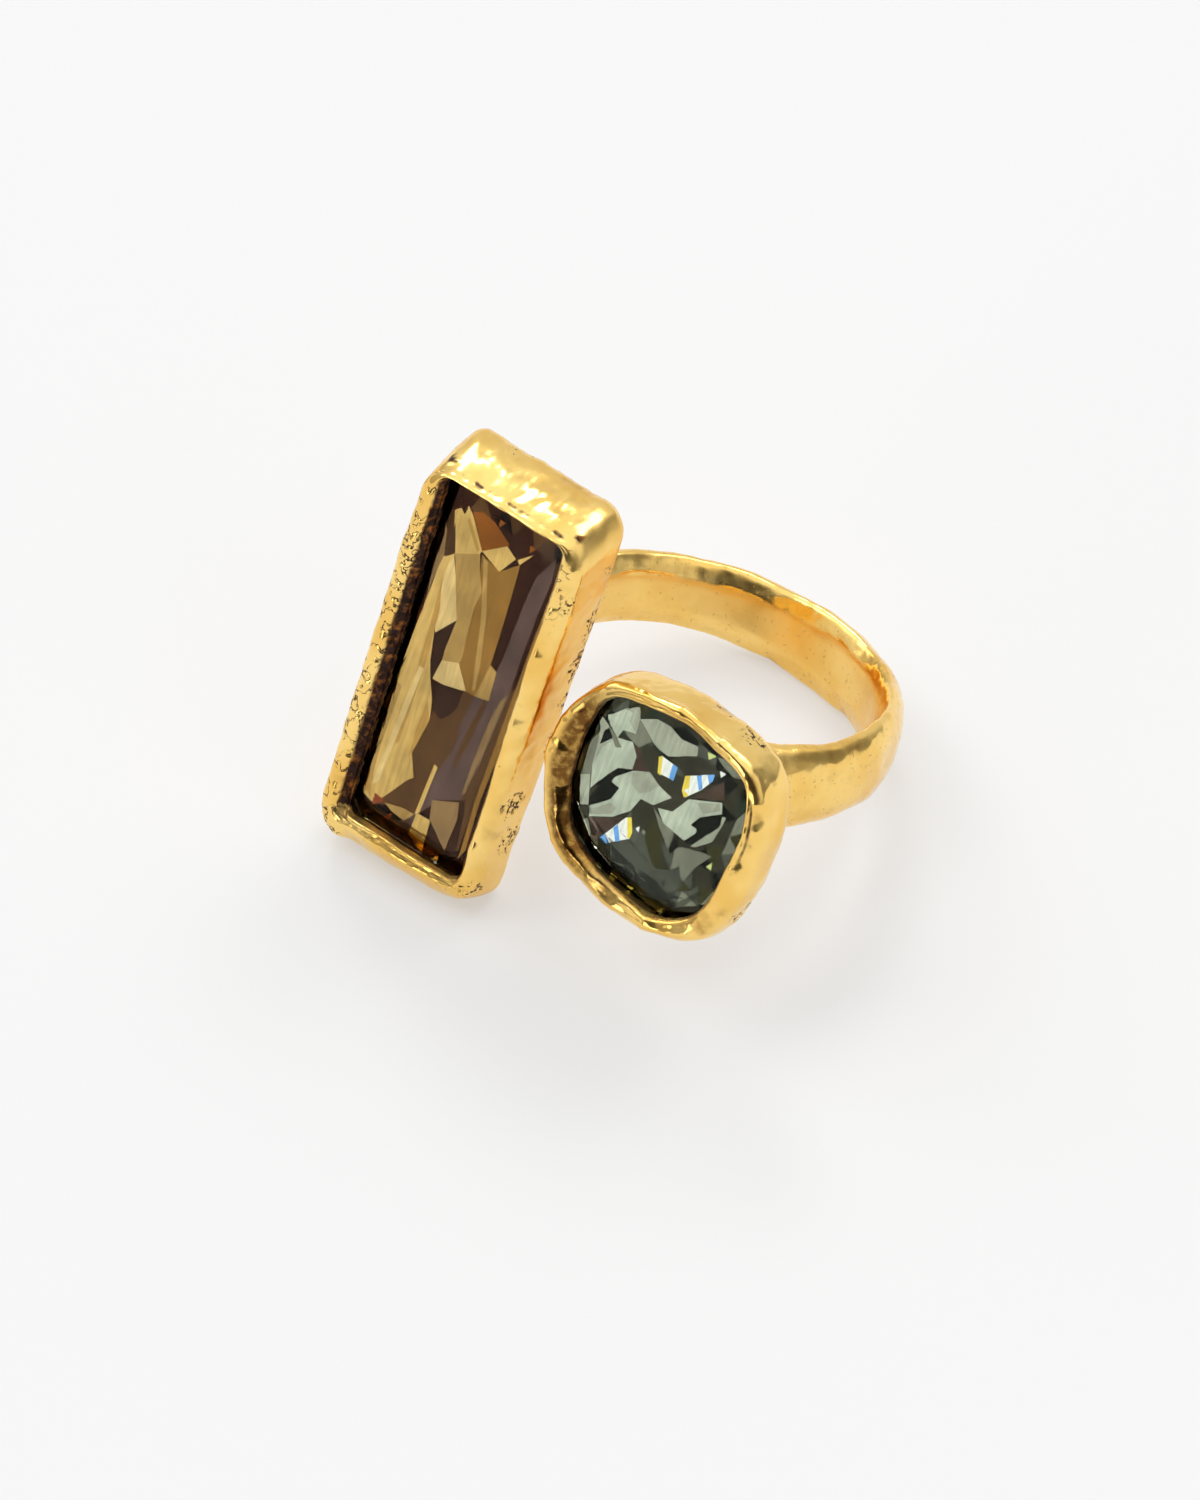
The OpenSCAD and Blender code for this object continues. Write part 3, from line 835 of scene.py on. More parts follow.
# %% The pits, in groups
PITS = {
    # [u, depth, v, radius, how thick they stand]
    "tall": [
        [4.9, 4.0, 5.5, 1.9, 1.0],
        [4.9, 3.8, 3.0, 2.0, 1.0],
        [4.9, 4.1, 0.5, 1.8, 1.0],
        [4.9, 3.9, -2.0, 1.8, 0.9],
        [5.0, 1.6, -5.5, 1.3, 0.9],
        [5.0, 2.6, -8.0, 1.6, 0.8],
        [4.8, 0.6, -11.0, 1.2, 1.0],
        [5.0, 0.4, 7.5, 0.9, 0.7],
        [5.0, 3.2, 9.0, 0.9, 0.6],
        [-5.0, 2.5, -4.0, 2.0, 0.7],
        [-2.0, 3.8, 12.0, 1.6, 0.4],
    ],
    "cushion": [
        [3.0, 2.4, 5.6, 1.4, 0.8],
        [1.0, 2.6, 6.3, 1.2, 0.6],
        [6.4, 1.8, -3.2, 1.3, 0.7],
        [-6.6, 1.5, -2.5, 1.5, 0.6],
        [6.4, 3.8, -1.0, 1.6, 0.6],
    ],
}
pits = 0.22 * ((round_r < 12.6) & (np.minimum(td, cd) > 3.4))  # a few all over the band
for at, where in (((tu, td, tv), "tall"), ((cu, cd, cv), "cushion")):
    for *middle, radius, thick in PITS[where]:
        gap = np.sqrt(sum((a - b) ** 2 for a, b in zip(at, middle)))
        pits = np.maximum(pits, thick * smooth(radius, 0.3 * radius, gap))
print("pits may stand on", points_on(pits), "points")

# %% Where dents are held back, and where the metal is satin
bore = smooth(HOLE_R + 0.12, HOLE_R + 0.04, round_r) * (np.minimum(td, cd) > 3.2)
calm = 1 - 0.85 * bore - 0.6 * np.clip(pocket, 0, 1) * (1 - bore)
satin = np.maximum(0.9 * bore, tall_metal * smooth(4.3, 4.7, tu) * smooth(0.4, 1.2, td))
print("calm", round(float(calm.min()), 2), "to 1, satin on", points_on(satin), "points")

# %% Keep the masks on the mesh
MASKS = {"pocket": pocket, "painted_slope_shade": painted_slope_shade, "groove": groove, "lip": lip, "pits": pits,
         "lumps": lumps, "crumple": crumple, "worn": worn, "calm": calm, "satin": satin}
for name, values in MASKS.items():
    layer = casting_mesh.attributes.new(name, "FLOAT", "POINT")
    layer.data.foreach_set("value", np.asarray(values, np.float32))
print("masks kept for", count, "points:", ", ".join(MASKS))

# %% [markdown]
# ## Hammered, cast gold
# The whole surface has soft dents a few millimetres across, a finer orange-peel, cracks in
# the lip and small pits. All of it follows a rule, so a Geometry Nodes tree moves every
# point along its normal by the sum of a few patterns, held back by the masks. It also
# keeps how dark and how hollow each point is, for the finish.

# %% How high and how wide each pattern is
HAMMER_INPUTS = {
    "Wear steps": 16, "Seed": 7.0,
    "Wave height": 0.10 * MM, "Wave size": 2.6 * MM,
    "Dent height": 0.065 * MM, "Dent size": 1.0 * MM,
    "Hammer height": 0.26 * MM, "Hammer size": 1.9 * MM,
    "Crumple height": 0.17 * MM, "Crumple size": 0.9 * MM,
    "Grain height": 0.016 * MM, "Grain size": 0.32 * MM,
    "Crack width": 0.035, "Crack depth": 0.07 * MM, "Crack size": 0.75 * MM,
    "Pit depth": 0.09 * MM, "Pit size": 0.30 * MM,
}
HOLLOW_FROM, HOLLOW_FULL = -0.02 * MM, -0.13 * MM  # heights of a dent where its shade sets in


# %% Build the tree that hammers the metal
def hammered_tree():
    tree = bpy.data.node_groups.new("hammered_metal", "GeometryNodeTree")
    face = tree.interface
    face.new_socket("Geometry", in_out="INPUT", socket_type="NodeSocketGeometry")
    for name, value in HAMMER_INPUTS.items():
        kind = "NodeSocketInt" if isinstance(value, int) else "NodeSocketFloat"
        face.new_socket(name, in_out="INPUT", socket_type=kind).default_value = value
    face.new_socket("Finish", in_out="INPUT", socket_type="NodeSocketMaterial")
    face.new_socket("Geometry", in_out="OUTPUT", socket_type="NodeSocketGeometry")
    nodes = Nodes(tree)
    given = {o.name: Flow(nodes, o) for o in tree.nodes.new("NodeGroupInput").outputs if o.name}

    def mask(name):
        return nodes.flow("GeometryNodeInputNamedAttribute", {"Name": name}, out="Attribute",
                          data_type="FLOAT")

    def noise(size, seed_step, detail=1.0):
        return nodes.noise(position, 1.0 / given[size], detail, seed=given["Seed"] + seed_step)

    def vector_value(sockets):
        return next(s for s in sockets if s.name == "Value" and s.type == "VECTOR")

    # wear softens the shape before anything is pressed into it
    position = nodes.flow("GeometryNodeInputPosition")
    blurred = nodes.add("GeometryNodeBlurAttribute",
                        {"Iterations": given["Wear steps"], "Weight": mask("worn")},
                        data_type="FLOAT_VECTOR")
    nodes.feed(position, vector_value(blurred.inputs))
    soft = Flow(nodes, vector_value(blurred.outputs))
    shape = nodes.flow("GeometryNodeSetPosition", {"Geometry": given["Geometry"], "Position": soft})

    # dents, from the widest to the finest
    broad = (noise("Wave size", 0.0) - 0.5) * 2.0
    dents = (noise("Dent size", 3.0) - 0.5) * 2.0
    grain = (noise("Grain size", 6.0, 2.0) - 0.5) * 2.0
    rough_grain = grain * (mask("pocket") * 4.0 + 1.0)
    crumpled = (noise("Crumple size", 18.0, 2.0) - 0.5) * mask("crumple")
    marks = nodes.flow("ShaderNodeTexVoronoi",
                       {"Vector": position, "Scale": 1.0 / given["Hammer size"]},
                       out="Distance", feature="F1")
    bowls = marks * marks - 0.25
    height = broad * given["Wave height"] + dents * given["Dent height"]
    height = height + rough_grain * given["Grain height"] + crumpled * given["Crumple height"]
    height = (height + bowls * given["Hammer height"] * mask("lumps")) * mask("calm")
    hollow = nodes.ramp(height, HOLLOW_FROM, HOLLOW_FULL)

    # cracks and pits are sunk into that
    worm = abs(noise("Crack size", 12.0, 2.0) - 0.5)
    line = 1.0 - nodes.ramp(worm, 0.008, given["Crack width"])
    broken = nodes.ramp(noise("Dent size", 15.0), 0.36, 0.46)
    crack = line * broken * nodes.ramp(mask("lip"), 0.1, 0.9)
    pit = nodes.ramp(noise("Pit size", 9.0), 0.60, 0.68) * nodes.ramp(mask("pits"), 0.15, 0.8)
    height = height - (crack * given["Crack depth"] + pit * given["Pit depth"])

    normal = nodes.flow("GeometryNodeInputNormal")
    offset = nodes.flow("ShaderNodeVectorMath", {0: normal, "Scale": height}, operation="SCALE")
    for name, value in (("dark", pit), ("hollow", hollow)):
        shape = nodes.flow("GeometryNodeStoreNamedAttribute",
                           {"Geometry": shape, "Name": name, "Value": value},
                           data_type="FLOAT", domain="POINT")
    shape = nodes.flow("GeometryNodeSetPosition", {"Geometry": shape, "Offset": offset})
    shape = nodes.flow("GeometryNodeSetShadeSmooth", {0: shape})
    shape = nodes.flow("GeometryNodeRealizeInstances", {0: shape})
    shape = nodes.flow("GeometryNodeSetMaterial", {"Geometry": shape, "Material": given["Finish"]})
    nodes.feed(shape, tree.nodes.new("NodeGroupOutput").inputs[0])
    return tree


# %% [markdown]
# ## The gold finish
# Polished gold-coloured metal has no colour of its own but the tint of what it reflects,
# so the tint is set once and varied only a little. What makes it look old is the dark
# film left in cracks and pits and the brown, rough walls of the pockets. Fine pits and
# cracks too small for the mesh are added as bump, on the same masks.

# %% The colours of old gold
DEEP_GOLD, PALE_GOLD = (0.92, 0.57, 0.14, 1), (1.00, 0.69, 0.22, 1)
HOLLOW_GOLD = (0.42, 0.20, 0.04, 1)
# the first of these browns is painted shade on the slope inside the cushion's lip
# the last is the dark film of cracks and pits, and also painted shade in the grooves
SLOPE_SHADE_BROWN, DARK_FILM_AND_SHADE = (0.13, 0.05, 0.01, 1), (0.06, 0.025, 0.008, 1)
DARK_RUST, BRIGHT_RUST = (0.030, 0.008, 0.003, 1), (0.40, 0.14, 0.02, 1)
FINE_BUMP = 0.04 * MM  # height of the bump too fine for the mesh


# %% The gold, with its film and its brown walls
def old_gold():
    finish, nodes, shade = new_finish("old_gold")
    at = nodes.flow("ShaderNodeTexCoord", out="Object")
    ramp = nodes.ramp

    def mask(name):
        return nodes.flow("ShaderNodeAttribute", out="Fac", attribute_name=name)

    def noise(size_mm, detail=2.0, rough=0.5, seed=None):
        return nodes.noise(at, 1000.0 / size_mm, detail, rough, seed)

    def mixed(share, a, b):
        return nodes.flow("ShaderNodeMix", {0: share, 6: a, 7: b}, out=2, data_type="RGBA")

    pocket, painted_slope_shade, pits, groove = mask("pocket"), mask("painted_slope_shade"), mask("pits"), mask("groove")

    # the gold, darker in its hollows, with painted shade on the slope inside the cushion's lip
    gold = mixed(ramp(noise(3.5, 3.0), 0.35, 0.65), DEEP_GOLD, PALE_GOLD)
    gold = mixed(mask("hollow") * ramp(noise(0.9, 3.0), 0.3, 0.6), gold, HOLLOW_GOLD)
    streaks = ramp(noise(0.5, 3.0, 0.6), 0.30, 0.62) * painted_slope_shade
    gold = mixed(painted_slope_shade * 0.55 + streaks * 0.4, gold, SLOPE_SHADE_BROWN)

    # the dark film in cracks and specks, and painted shade in the grooves
    worm = abs(noise(0.75, seed=19.0) - 0.5)
    line = (1.0 - ramp(worm, 0.006, 0.022)) * ramp(noise(1.0, 1.0, seed=22.0), 0.36, 0.46)
    line = line * ramp(mask("lip"), 0.1, 0.6)
    specks = ramp(noise(0.24) + pits * 0.15, 0.67, 0.74) * ramp(pits, 0.1, 0.5)
    groove_shade = ramp(groove + noise(0.7) * 0.9, 0.75, 1.35) * ramp(groove, 0.1, 0.5)
    film_and_groove_shade = mask("dark").most(specks).most(line.most(groove_shade))

    rust = mixed(ramp(noise(0.6, 4.0, 0.7), 0.45, 0.70), DARK_RUST, BRIGHT_RUST)
    nodes.feed(mixed(film_and_groove_shade, mixed(pocket, gold, rust), DARK_FILM_AND_SHADE), shade.inputs["Base Color"])
    nodes.feed(1.0 - (film_and_groove_shade * 0.6 + pocket * 0.35), shade.inputs["Metallic"])
    rough = ramp(noise(1.7, 3.0), 0.3, 0.7) * 0.10 + 0.10
    rough = rough + film_and_groove_shade * 0.4 + pocket * 0.28 + mask("satin") * 0.20
    nodes.feed(rough, shade.inputs["Roughness"])
    fine = {"Height": noise(0.5, 3.0, 0.6) * 0.5 - film_and_groove_shade, "Strength": 0.35,
            "Distance": FINE_BUMP}
    nodes.feed(nodes.flow("ShaderNodeBump", fine), shade.inputs["Normal"])
    return finish


# %% Hammer the casting
BOX_MARGIN = 2e-6  # metres kept free inside the solid's own box


def hammered(mesh, name, finish):
    blank = put(name, mesh)
    tree = hammered_tree()
    step = blank.modifiers.new("hammer", "NODES")
    step.node_group = tree
    finish_input = next(item for item in tree.interface.items_tree if item.name == "Finish")
    step[finish_input.identifier] = finish
    graph = bpy.context.evaluated_depsgraph_get()
    made = bpy.data.meshes.new_from_object(blank.evaluated_get(graph))
    bpy.data.objects.remove(blank)
    return put(name, made)


ring_metal = hammered(casting_mesh, "hammered_ring", old_gold())
low, high = (np.array(corner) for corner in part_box("band_with_settings"))
points = np.zeros(3 * len(ring_metal.data.vertices), np.float32)
ring_metal.data.vertices.foreach_get("co", points)
points = np.clip(points.reshape(-1, 3), low + BOX_MARGIN, high - BOX_MARGIN)
ring_metal.data.vertices.foreach_set("co", points.astype(np.float32).ravel())
triangles = sum(len(f.vertices) - 2 for f in ring_metal.data.polygons)
print("hammered ring:", triangles, "triangles")
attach(ring_metal, "root")
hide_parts("band_with_settings")

# %% [markdown]
# ## Cut stones
# A cut stone shows its back facets through its table, each lit by another part of the
# room, as a mosaic of flat patches. Each stone is made in two pieces: a clear cap with the
# table and the crown facets, and under it the mirrored back, whose facets are laid out in
# a table with a tint for each. Each tint is the stone's own colour with painted reflection:
# light, dark or white for a flash, as that facet shows the room. Later facets lie over
# earlier ones, and a constrained triangulation turns the overlaps into one closed sheet.

# %% Tints of the facets: the stones' own colours with painted reflections, highlights and flashes
STONE_COLOURS_AND_REFLECTIONS = {  # screen colours from 0 to 255
    # the brown stone
    "coal": (22, 12, 8), "dark": (52, 27, 16), "wine": (62, 30, 16), "plum": (58, 38, 28),
    "umber": (73, 50, 30), "brown": (92, 66, 40), "violet": (96, 78, 74), "red": (135, 70, 40),
    "amber": (140, 84, 30), "smoke": (140, 116, 80), "bronze": (148, 112, 54),
    "olive": (178, 148, 88), "ochre": (188, 152, 84), "khaki": (208, 178, 108),
    "pale": (220, 196, 136),
    # the grey stone
    "black": (24, 26, 20), "pine": (44, 52, 40), "soot": (60, 58, 46), "moss": (66, 64, 38),
    "rose": (84, 66, 56), "slate": (84, 86, 76), "grey": (132, 132, 116),
    "silver": (176, 178, 160), "clear": (192, 198, 180),
    # sparks and flashes
    "spark": (225, 230, 150), "white": (255, 255, 250), "yellow": (250, 220, 90),
    "blue": (120, 180, 250),
}


def linear(name):
    """A tint as the light values that a shader takes."""
    return tuple((c / 255 / 12.92) if c <= 10 else ((c / 255 + 0.055) / 1.055) ** 2.4
                 for c in STONE_COLOURS_AND_REFLECTIONS[name])


# %% Facets from a table, and small ones round the edge
def in_mm(facets):
    """The tables of facets give u and v in turn, in hundredths of a millimetre."""
    return [(tint, [(u / 100, v / 100) for u, v in zip(flat[::2], flat[1::2])])
            for tint, flat in facets]


def edge_facets(outline, rows, tints, seed):
    """Small facets all round a stone's edge, in zigzag rows from one line to the next inside."""
    closed = np.vstack([outline, outline[:1]])
    steps_along = np.linalg.norm(np.diff(closed, axis=0), axis=1)
    far = np.concatenate([[0], np.cumsum(steps_along)])
    pick = np.random.default_rng(seed)
    made = []

    def line(share, shift, steps):
        at = (np.arange(steps + 1) + shift) / steps * far[-1] % far[-1]
        return share * np.stack([np.interp(at, far, closed[:, i]) for i in (0, 1)], 1)

    for outer_share, inner_share, steps in rows:
        outer, inner = line(outer_share, 0, steps), line(inner_share, 0.5, steps)
        for k in range(steps):
            for corners in ([outer[k], outer[k + 1], inner[k]],
                            [inner[k], outer[k + 1], inner[(k + 1) % steps]]):
                made.append((tints[pick.integers(len(tints))], corners))
    return made


# %% A stone's closed back
FOOT_KEEPS = (0.8, 0.9)  # how much of its width and height a back keeps at its foot
INSIDE_ONLY, MERGE_WITHIN = 1, 1e-4


def facet_sheet(name, facets, outline, base_tint, depth_at, foot, setting, finish):
    """A closed back for a stone: the facets as a sheet, with sides that narrow to a flat foot."""
    points, polygons = [], []

    def corner(p):
        key = (round(float(p[0]), 2), round(float(p[1]), 2))
        if key not in points:
            points.append(key)
        return points.index(key)

    polygons.append([corner(p) for p in outline])
    for _, corners in facets:
        ids = list(dict.fromkeys(corner(p) for p in corners))
        area = sum(points[a][0] * points[b][1] - points[b][0] * points[a][1]
                   for a, b in zip(ids, ids[1:] + ids[:1]))
        polygons.append(ids if area > 0 else ids[::-1])
    tints = [base_tint] + [tint for tint, _ in facets]
    laid = geometry.delaunay_2d_cdt([Vector(p) for p in points], [], polygons,
                                    INSIDE_ONLY, MERGE_WITHIN, True)
    flat, tiles, owners = laid[0], laid[2], laid[5]
    kept = [(t, tints[max(o)]) for t, o in zip(tiles, owners) if o and 0 in o]
    uv = np.array([(p[0], p[1]) for p in flat])
    top = setting.place(uv[:, 0], depth_at(uv[:, 0], uv[:, 1]), uv[:, 1])
    edges = {(a, b) for tile, _ in kept for a, b in zip(tile, tile[1:] + tile[:1])}
    rim = sorted((a, b) for a, b in edges if (b, a) not in edges)
    lower = {a: len(top) + i for i, (a, _) in enumerate(rim)}
    rim_uv = uv[[a for a, _ in rim]]
    foot_u, foot_v = (rim_uv * FOOT_KEEPS).T
    narrow = setting.place(foot_u, foot, foot_v)
    middle = len(top) + len(rim)
    faces = [list(tile) for tile, _ in kept]
    faces += [[b, a, lower[a], lower[b]] for a, b in rim]
    faces += [[lower[b], lower[a], middle] for a, b in rim]
    mesh = bpy.data.meshes.new(name)
    everything = np.vstack([top, narrow, [setting.place(0, foot, 0)]])
    mesh.from_pydata(on_table(everything).tolist(), [], faces)

    colours = [linear(t) for _, t in kept] + [linear(base_tint)] * (2 * len(rim))
    layer = mesh.color_attributes.new("tint", "FLOAT_COLOR", "CORNER")
    flat_colours = [c for face, rgb in zip(mesh.polygons, colours)
                    for _ in face.loop_indices for c in (*rgb, 1)]
    layer.data.foreach_set("color", flat_colours)
    run = mesh.uv_layers.new(name="run")
    all_uv = np.vstack([uv, rim_uv, [[0, 0]]])
    corner_uv = all_uv[[v for face in mesh.polygons for v in face.vertices]]
    run.data.foreach_set("uv", corner_uv.ravel().astype(np.float32))
    mesh.materials.append(finish)
    print(name, len(kept), "tiles", len(rim), "rim edges")
    return put(name, mesh)


# %% Finishes of the stones
CLOUD_MM, STREAK_STRETCH = 2.0, (4.5, 0.35, 1.0)
GLASS_BENDS, GLASS_MIRRORS, HAZE_PER_M = 1.14, 0.2, 700.0


def mirrored_back(name):
    """Foiled facets seen through glass: mirrors tinted by facet with painted light and dark, and
    streaks along the stone.
    """
    finish, nodes, shade = new_finish(name, Metallic=1.0, Roughness=0.05)
    tint = nodes.flow("ShaderNodeAttribute", out="Color", attribute_name="tint")
    at = nodes.flow("ShaderNodeTexCoord", out="Object")
    run = nodes.flow("ShaderNodeUVMap", uv_map="run")
    drawn = nodes.flow("ShaderNodeVectorMath", {0: run, 1: STREAK_STRETCH}, operation="MULTIPLY")
    cloud = nodes.ramp(nodes.noise(at, 1000 / CLOUD_MM), 0.3, 0.7, (0.80, 1.14), "LINEAR")
    streak = nodes.ramp(nodes.noise(drawn, 1.0, 3.0, 0.6), 0.3, 0.7, (0.86, 1.12), "LINEAR")
    mix = nodes.flow("ShaderNodeVectorMath", {0: tint, "Scale": cloud * streak}, operation="SCALE")
    nodes.feed(mix, shade.inputs["Base Color"])
    return finish


def clear_glass(name, tint):
    """Glass that bends light little, because the facets under it are seen through one face."""
    finish, nodes, shade = new_finish(name, Base_Color=(*tint, 1), Transmission_Weight=1.0,
                                      IOR=GLASS_BENDS, Specular_IOR_Level=GLASS_MIRRORS)
    at = nodes.flow("ShaderNodeTexCoord", out="Object")
    haze = nodes.ramp(nodes.noise(at, HAZE_PER_M, 3.0), 0.45, 0.8, (0.0, 0.04), "LINEAR")
    nodes.feed(haze, shade.inputs["Roughness"])
    return finish


# %% The clear cap of the long stone
CROWN_H, GIRDLE_LIFT = 0.75, 0.1
LONG_TABLE, LONG_CROWN_W, LONG_CUT = 0.65, 1.5, 0.9


def cut_rectangle(grow, cut):
    """The tall window's corners, grown, with each corner cut off."""
    x, z = ((size + grow) / 2 for size in TALL_WIN)
    return np.array([[x, z - cut], [x - cut, z], [cut - x, z], [-x, z - cut],
                     [-x, cut - z], [cut - x, -z], [x - cut, -z], [x, cut - z]])


def long_ring(taken, depth):
    p = cut_rectangle(2 * (LIP_COVER - taken * LONG_CROWN_W), LONG_CUT * (1 - taken / 4))
    return TALL.place(p[:, 0], depth, p[:, 1])


long_girdle = LONG_TABLE + CROWN_H
long_rings = [long_ring(*row) for row in (
    (0, long_girdle + GIRDLE_LIFT), (0, long_girdle), (0.42, LONG_TABLE + 0.4 * CROWN_H),
    (1, LONG_TABLE))]
long_cap = skin("long_stone_cap", long_rings, TALL.place(0, long_girdle + GIRDLE_LIFT, 0),
                TALL.place(0, LONG_TABLE, 0))
long_cap.data.materials.append(clear_glass("clear_brown_glass", (1.0, 0.97, 0.90)))

# %% The facets that show through its table
LONG_FACETS = [
    # (tint, corners as u, v, u, v, ...)
    # the top and the upper left
    ("smoke", [-401, 813, -389, 676, -346, 324, -335, -114, -362, -483, -373, -781, -365, -971,
        -302, -997, -321, -362, -311, 218, -307, 410, -303, 538, -328, 712]),
    ("umber", [-399, 827, -335, 833, -265, 605, -316, 556, -344, 702]),
    ("khaki", [-316, 556, -265, 605, -264, 580, -288, 453, -283, 235, -244, 118, -217, -44,
        -363, -131, -352, 99, -337, 298, -328, 473]),
    ("pale", [-293, 469, -267, 591, -204, 440, -142, 255, -153, 46, -235, 111, -283, 235]),
    ("plum", [-238, 122, -142, 255, -157, 18, -200, -34]),
    ("olive", [-265, 605, -127, 680, -93, 568, -52, 485, -70, 380, -47, 71, -55, 34, -153, -5,
        -153, 46, -142, 255]),
    ("khaki", [-335, 833, -307, 862, -280, 840, -269, 896, -231, 862, -122, 702, -130, 678,
        -265, 605]),
    ("amber", [-238, 883, -190, 906, -105, 899, 20, 823, -122, 702]),
    ("khaki", [-122, 702, 8, 809, 78, 769, 7, 646]),
    ("khaki", [88, 769, 170, 848, 110, 751]),
    # the upper right
    ("bronze", [-116, 686, 7, 646, 110, 751, 118, 680, 125, 370, 126, 130, 92, -88, 33, -91,
        -55, 34, -47, 71, -70, 380, -52, 485, -93, 568]),
    ("dark", [115, 735, 176, 633, 186, 229, 172, 113, 126, 130, 125, 370]),
    ("violet", [296, 904, 312, 776, 290, 512, 278, 253, 276, 61, 172, 113, 186, 229, 203, 555,
        227, 757]),
    ("bronze", [332, 913, 363, 744, 352, 424, 331, 94, 327, -291, 305, -625, 311, -946, 286, -1013,
        277, -642, 292, -247, 303, 78, 316, 433, 330, 724]),
    # the lower left
    ("khaki", [-363, -131, -217, -44, -191, -124, -138, -252, -117, -367, -158, -601, -105, -731,
        -137, -766, -275, -997, -365, -971, -400, -895, -397, -698, -388, -467]),
    ("olive", [-367, -262, -323, -274, -340, -632, -329, -916, -350, -975, -387, -906, -391, -662]),
    ("plum", [-217, -44, -153, -5, -174, -133]),
    ("pale", [-153, -5, -55, 34, 33, -91, -2, -106, -110, -133, -174, -133]),
    # the middle
    ("plum", [-119, -138, 16, -111, 15, -208, -14, -273, -61, -333, -112, -300, -138, -252]),
    ("brown", [-158, -601, -117, -367, -112, -300, -61, -333, -14, -273, 15, -208, 16, -111,
        33, -91, 92, -88, 60, -292, 71, -427, 24, -590, 10, -596, -13, -588, -34, -924, -101, -926,
        -275, -997, -137, -766, -105, -731]),
    ("khaki", [-13, -588, 10, -596, -9, -899, -34, -924]),
    ("olive", [126, 130, 172, 113, 179, -67, 92, -88]),
    ("violet", [92, -88, 179, -67, 172, 113, 276, 61, 254, -271, 223, -579, 193, -694, 82, -762,
        -9, -899, 10, -596, 24, -590, 71, -427, 60, -292]),
    ("brown", [276, 61, 303, 78, 292, -247, 277, -642, 272, -970, 227, -998, 218, -808, 193, -694,
        223, -579, 254, -271]),
    # the foot
    ("red", [-294, -940, -223, -949, -284, -1012]),
    ("red", [-224, -1048, -150, -985, -179, -1052]),
    ("olive", [-219, -960, -101, -926, -34, -924, -80, -991, -171, -982]),
    ("khaki", [-23, -907, 67, -901, 77, -1106, -29, -1042]),
    ("smoke", [39, -788, 197, -705, 215, -810, 199, -1015, 61, -905]),
    ("violet", [-367, -1050, -284, -1012, -185, -1043, -80, -991, -34, -924, -25, -912, -29, -1042,
        77, -1106, -117, -1145, -327, -1130]),
    ("plum", [199, -1015, 215, -810, 197, -705, 227, -673, 264, -1007, 226, -1076, 90, -1095,
        67, -901]),
    ("smoke", [-416, -1067, -366, -1010, -288, -1041, -178, -1065, -121, -1134, -222, -1157,
        -338, -1137]),
    # slivers and shades over these
    ("ochre", [-294, 449, -251, 241, -237, -107, -247, -588, -269, -601, -271, -268, -282, 172]),
    ("ochre", [-163, -267, -117, -367, -158, -601, -171, -632, -178, -468]),
    ("pale", [-270, -107, -237, -107, -270, -557, -292, -861, -319, -904, -304, -577]),
    ("ochre", [-401, -902, -404, -812, -326, -843, -309, -976]),
    ("ochre", [-256, 817, -245, 842, -137, 699, -152, 684]),
    ("olive", [-101, 670, -72, 662, 19, 351, 70, 78, 81, -56, 65, -66, -9, 334]),
    ("smoke", [238, -25, 270, 19, 246, -288, 213, -630, 194, -655, 209, -298]),
    ("brown", [149, -79, 175, -76, 146, -349, 108, -539, 88, -539, 113, -292]),
    ("umber", [-80, -991, -44, -956, -41, -1046, -101, -1070]),
    # sparks
    ("white", [-411, -1103, -387, -1050, -355, -1108]),
    ("spark", [-330, -1119, -305, -1071, -280, -1127]),
    ("white", [-356, -1187, -335, -1148, -302, -1186]),
    ("pale", [-250, -1155, -220, -1103, -208, -1161]),
    ("white", [133, -1101, 178, -1054, 176, -1108]),
    ("amber", [-79, 921, -39, 919, -67, 884]),
    ("amber", [136, 891, 176, 889, 144, 846]),
]
print(len(LONG_FACETS), "facets in the long stone")

# %% The back of the long stone
# just under the cap, so that a thin gap of air keeps the two apart
LONG_BACK_AT, BACK_SLOPE, BACK_SHAKE = 1.56, 0.03, 0.005
# the small facets round its edge, in rows of (outer share, inner share, how many along it)
LONG_EDGE_ROWS = [(0.985, 0.91, 46), (0.91, 0.80, 34)]
LONG_EDGE_TINTS = ["dark", "coal", "umber", "dark", "wine", "coal", "dark", "brown"]


def long_depth(u, v):
    """The back is a shallow hipped trough, deepest along its middle."""
    half_w, half_h = (size / 2 + LIP_COVER for size in TALL_WIN)
    edge = np.minimum(half_w - np.abs(u), half_h - np.abs(v))
    shake = BACK_SHAKE * np.sin(5.1 * u + 3.3 * v) * (edge > 0.2)
    return LONG_BACK_AT + BACK_SLOPE * np.clip(edge, 0, half_w) + shake


outline = [tuple(p) for p in cut_rectangle(2 * LIP_COVER - 0.02, LONG_CUT)]
long_edge = edge_facets(outline, LONG_EDGE_ROWS, LONG_EDGE_TINTS, seed=11)
long_back = facet_sheet("long_stone_back", long_edge + in_mm(LONG_FACETS), outline, "dark",
                        depth_at=long_depth, foot=2.5, setting=TALL,
                        finish=mirrored_back("brown_foiled_back"))

# %% The clear cap of the cushion stone
CUSHION_TABLE, FACETS = 0.45, 16


def cushion_stone_ring(share, depth, half_steps):
    _, u, v = cushion_outline(0, LIP_COVER, FACETS, half_steps * 180 / FACETS)
    return CUSHION.place(u * share, depth, v * share)


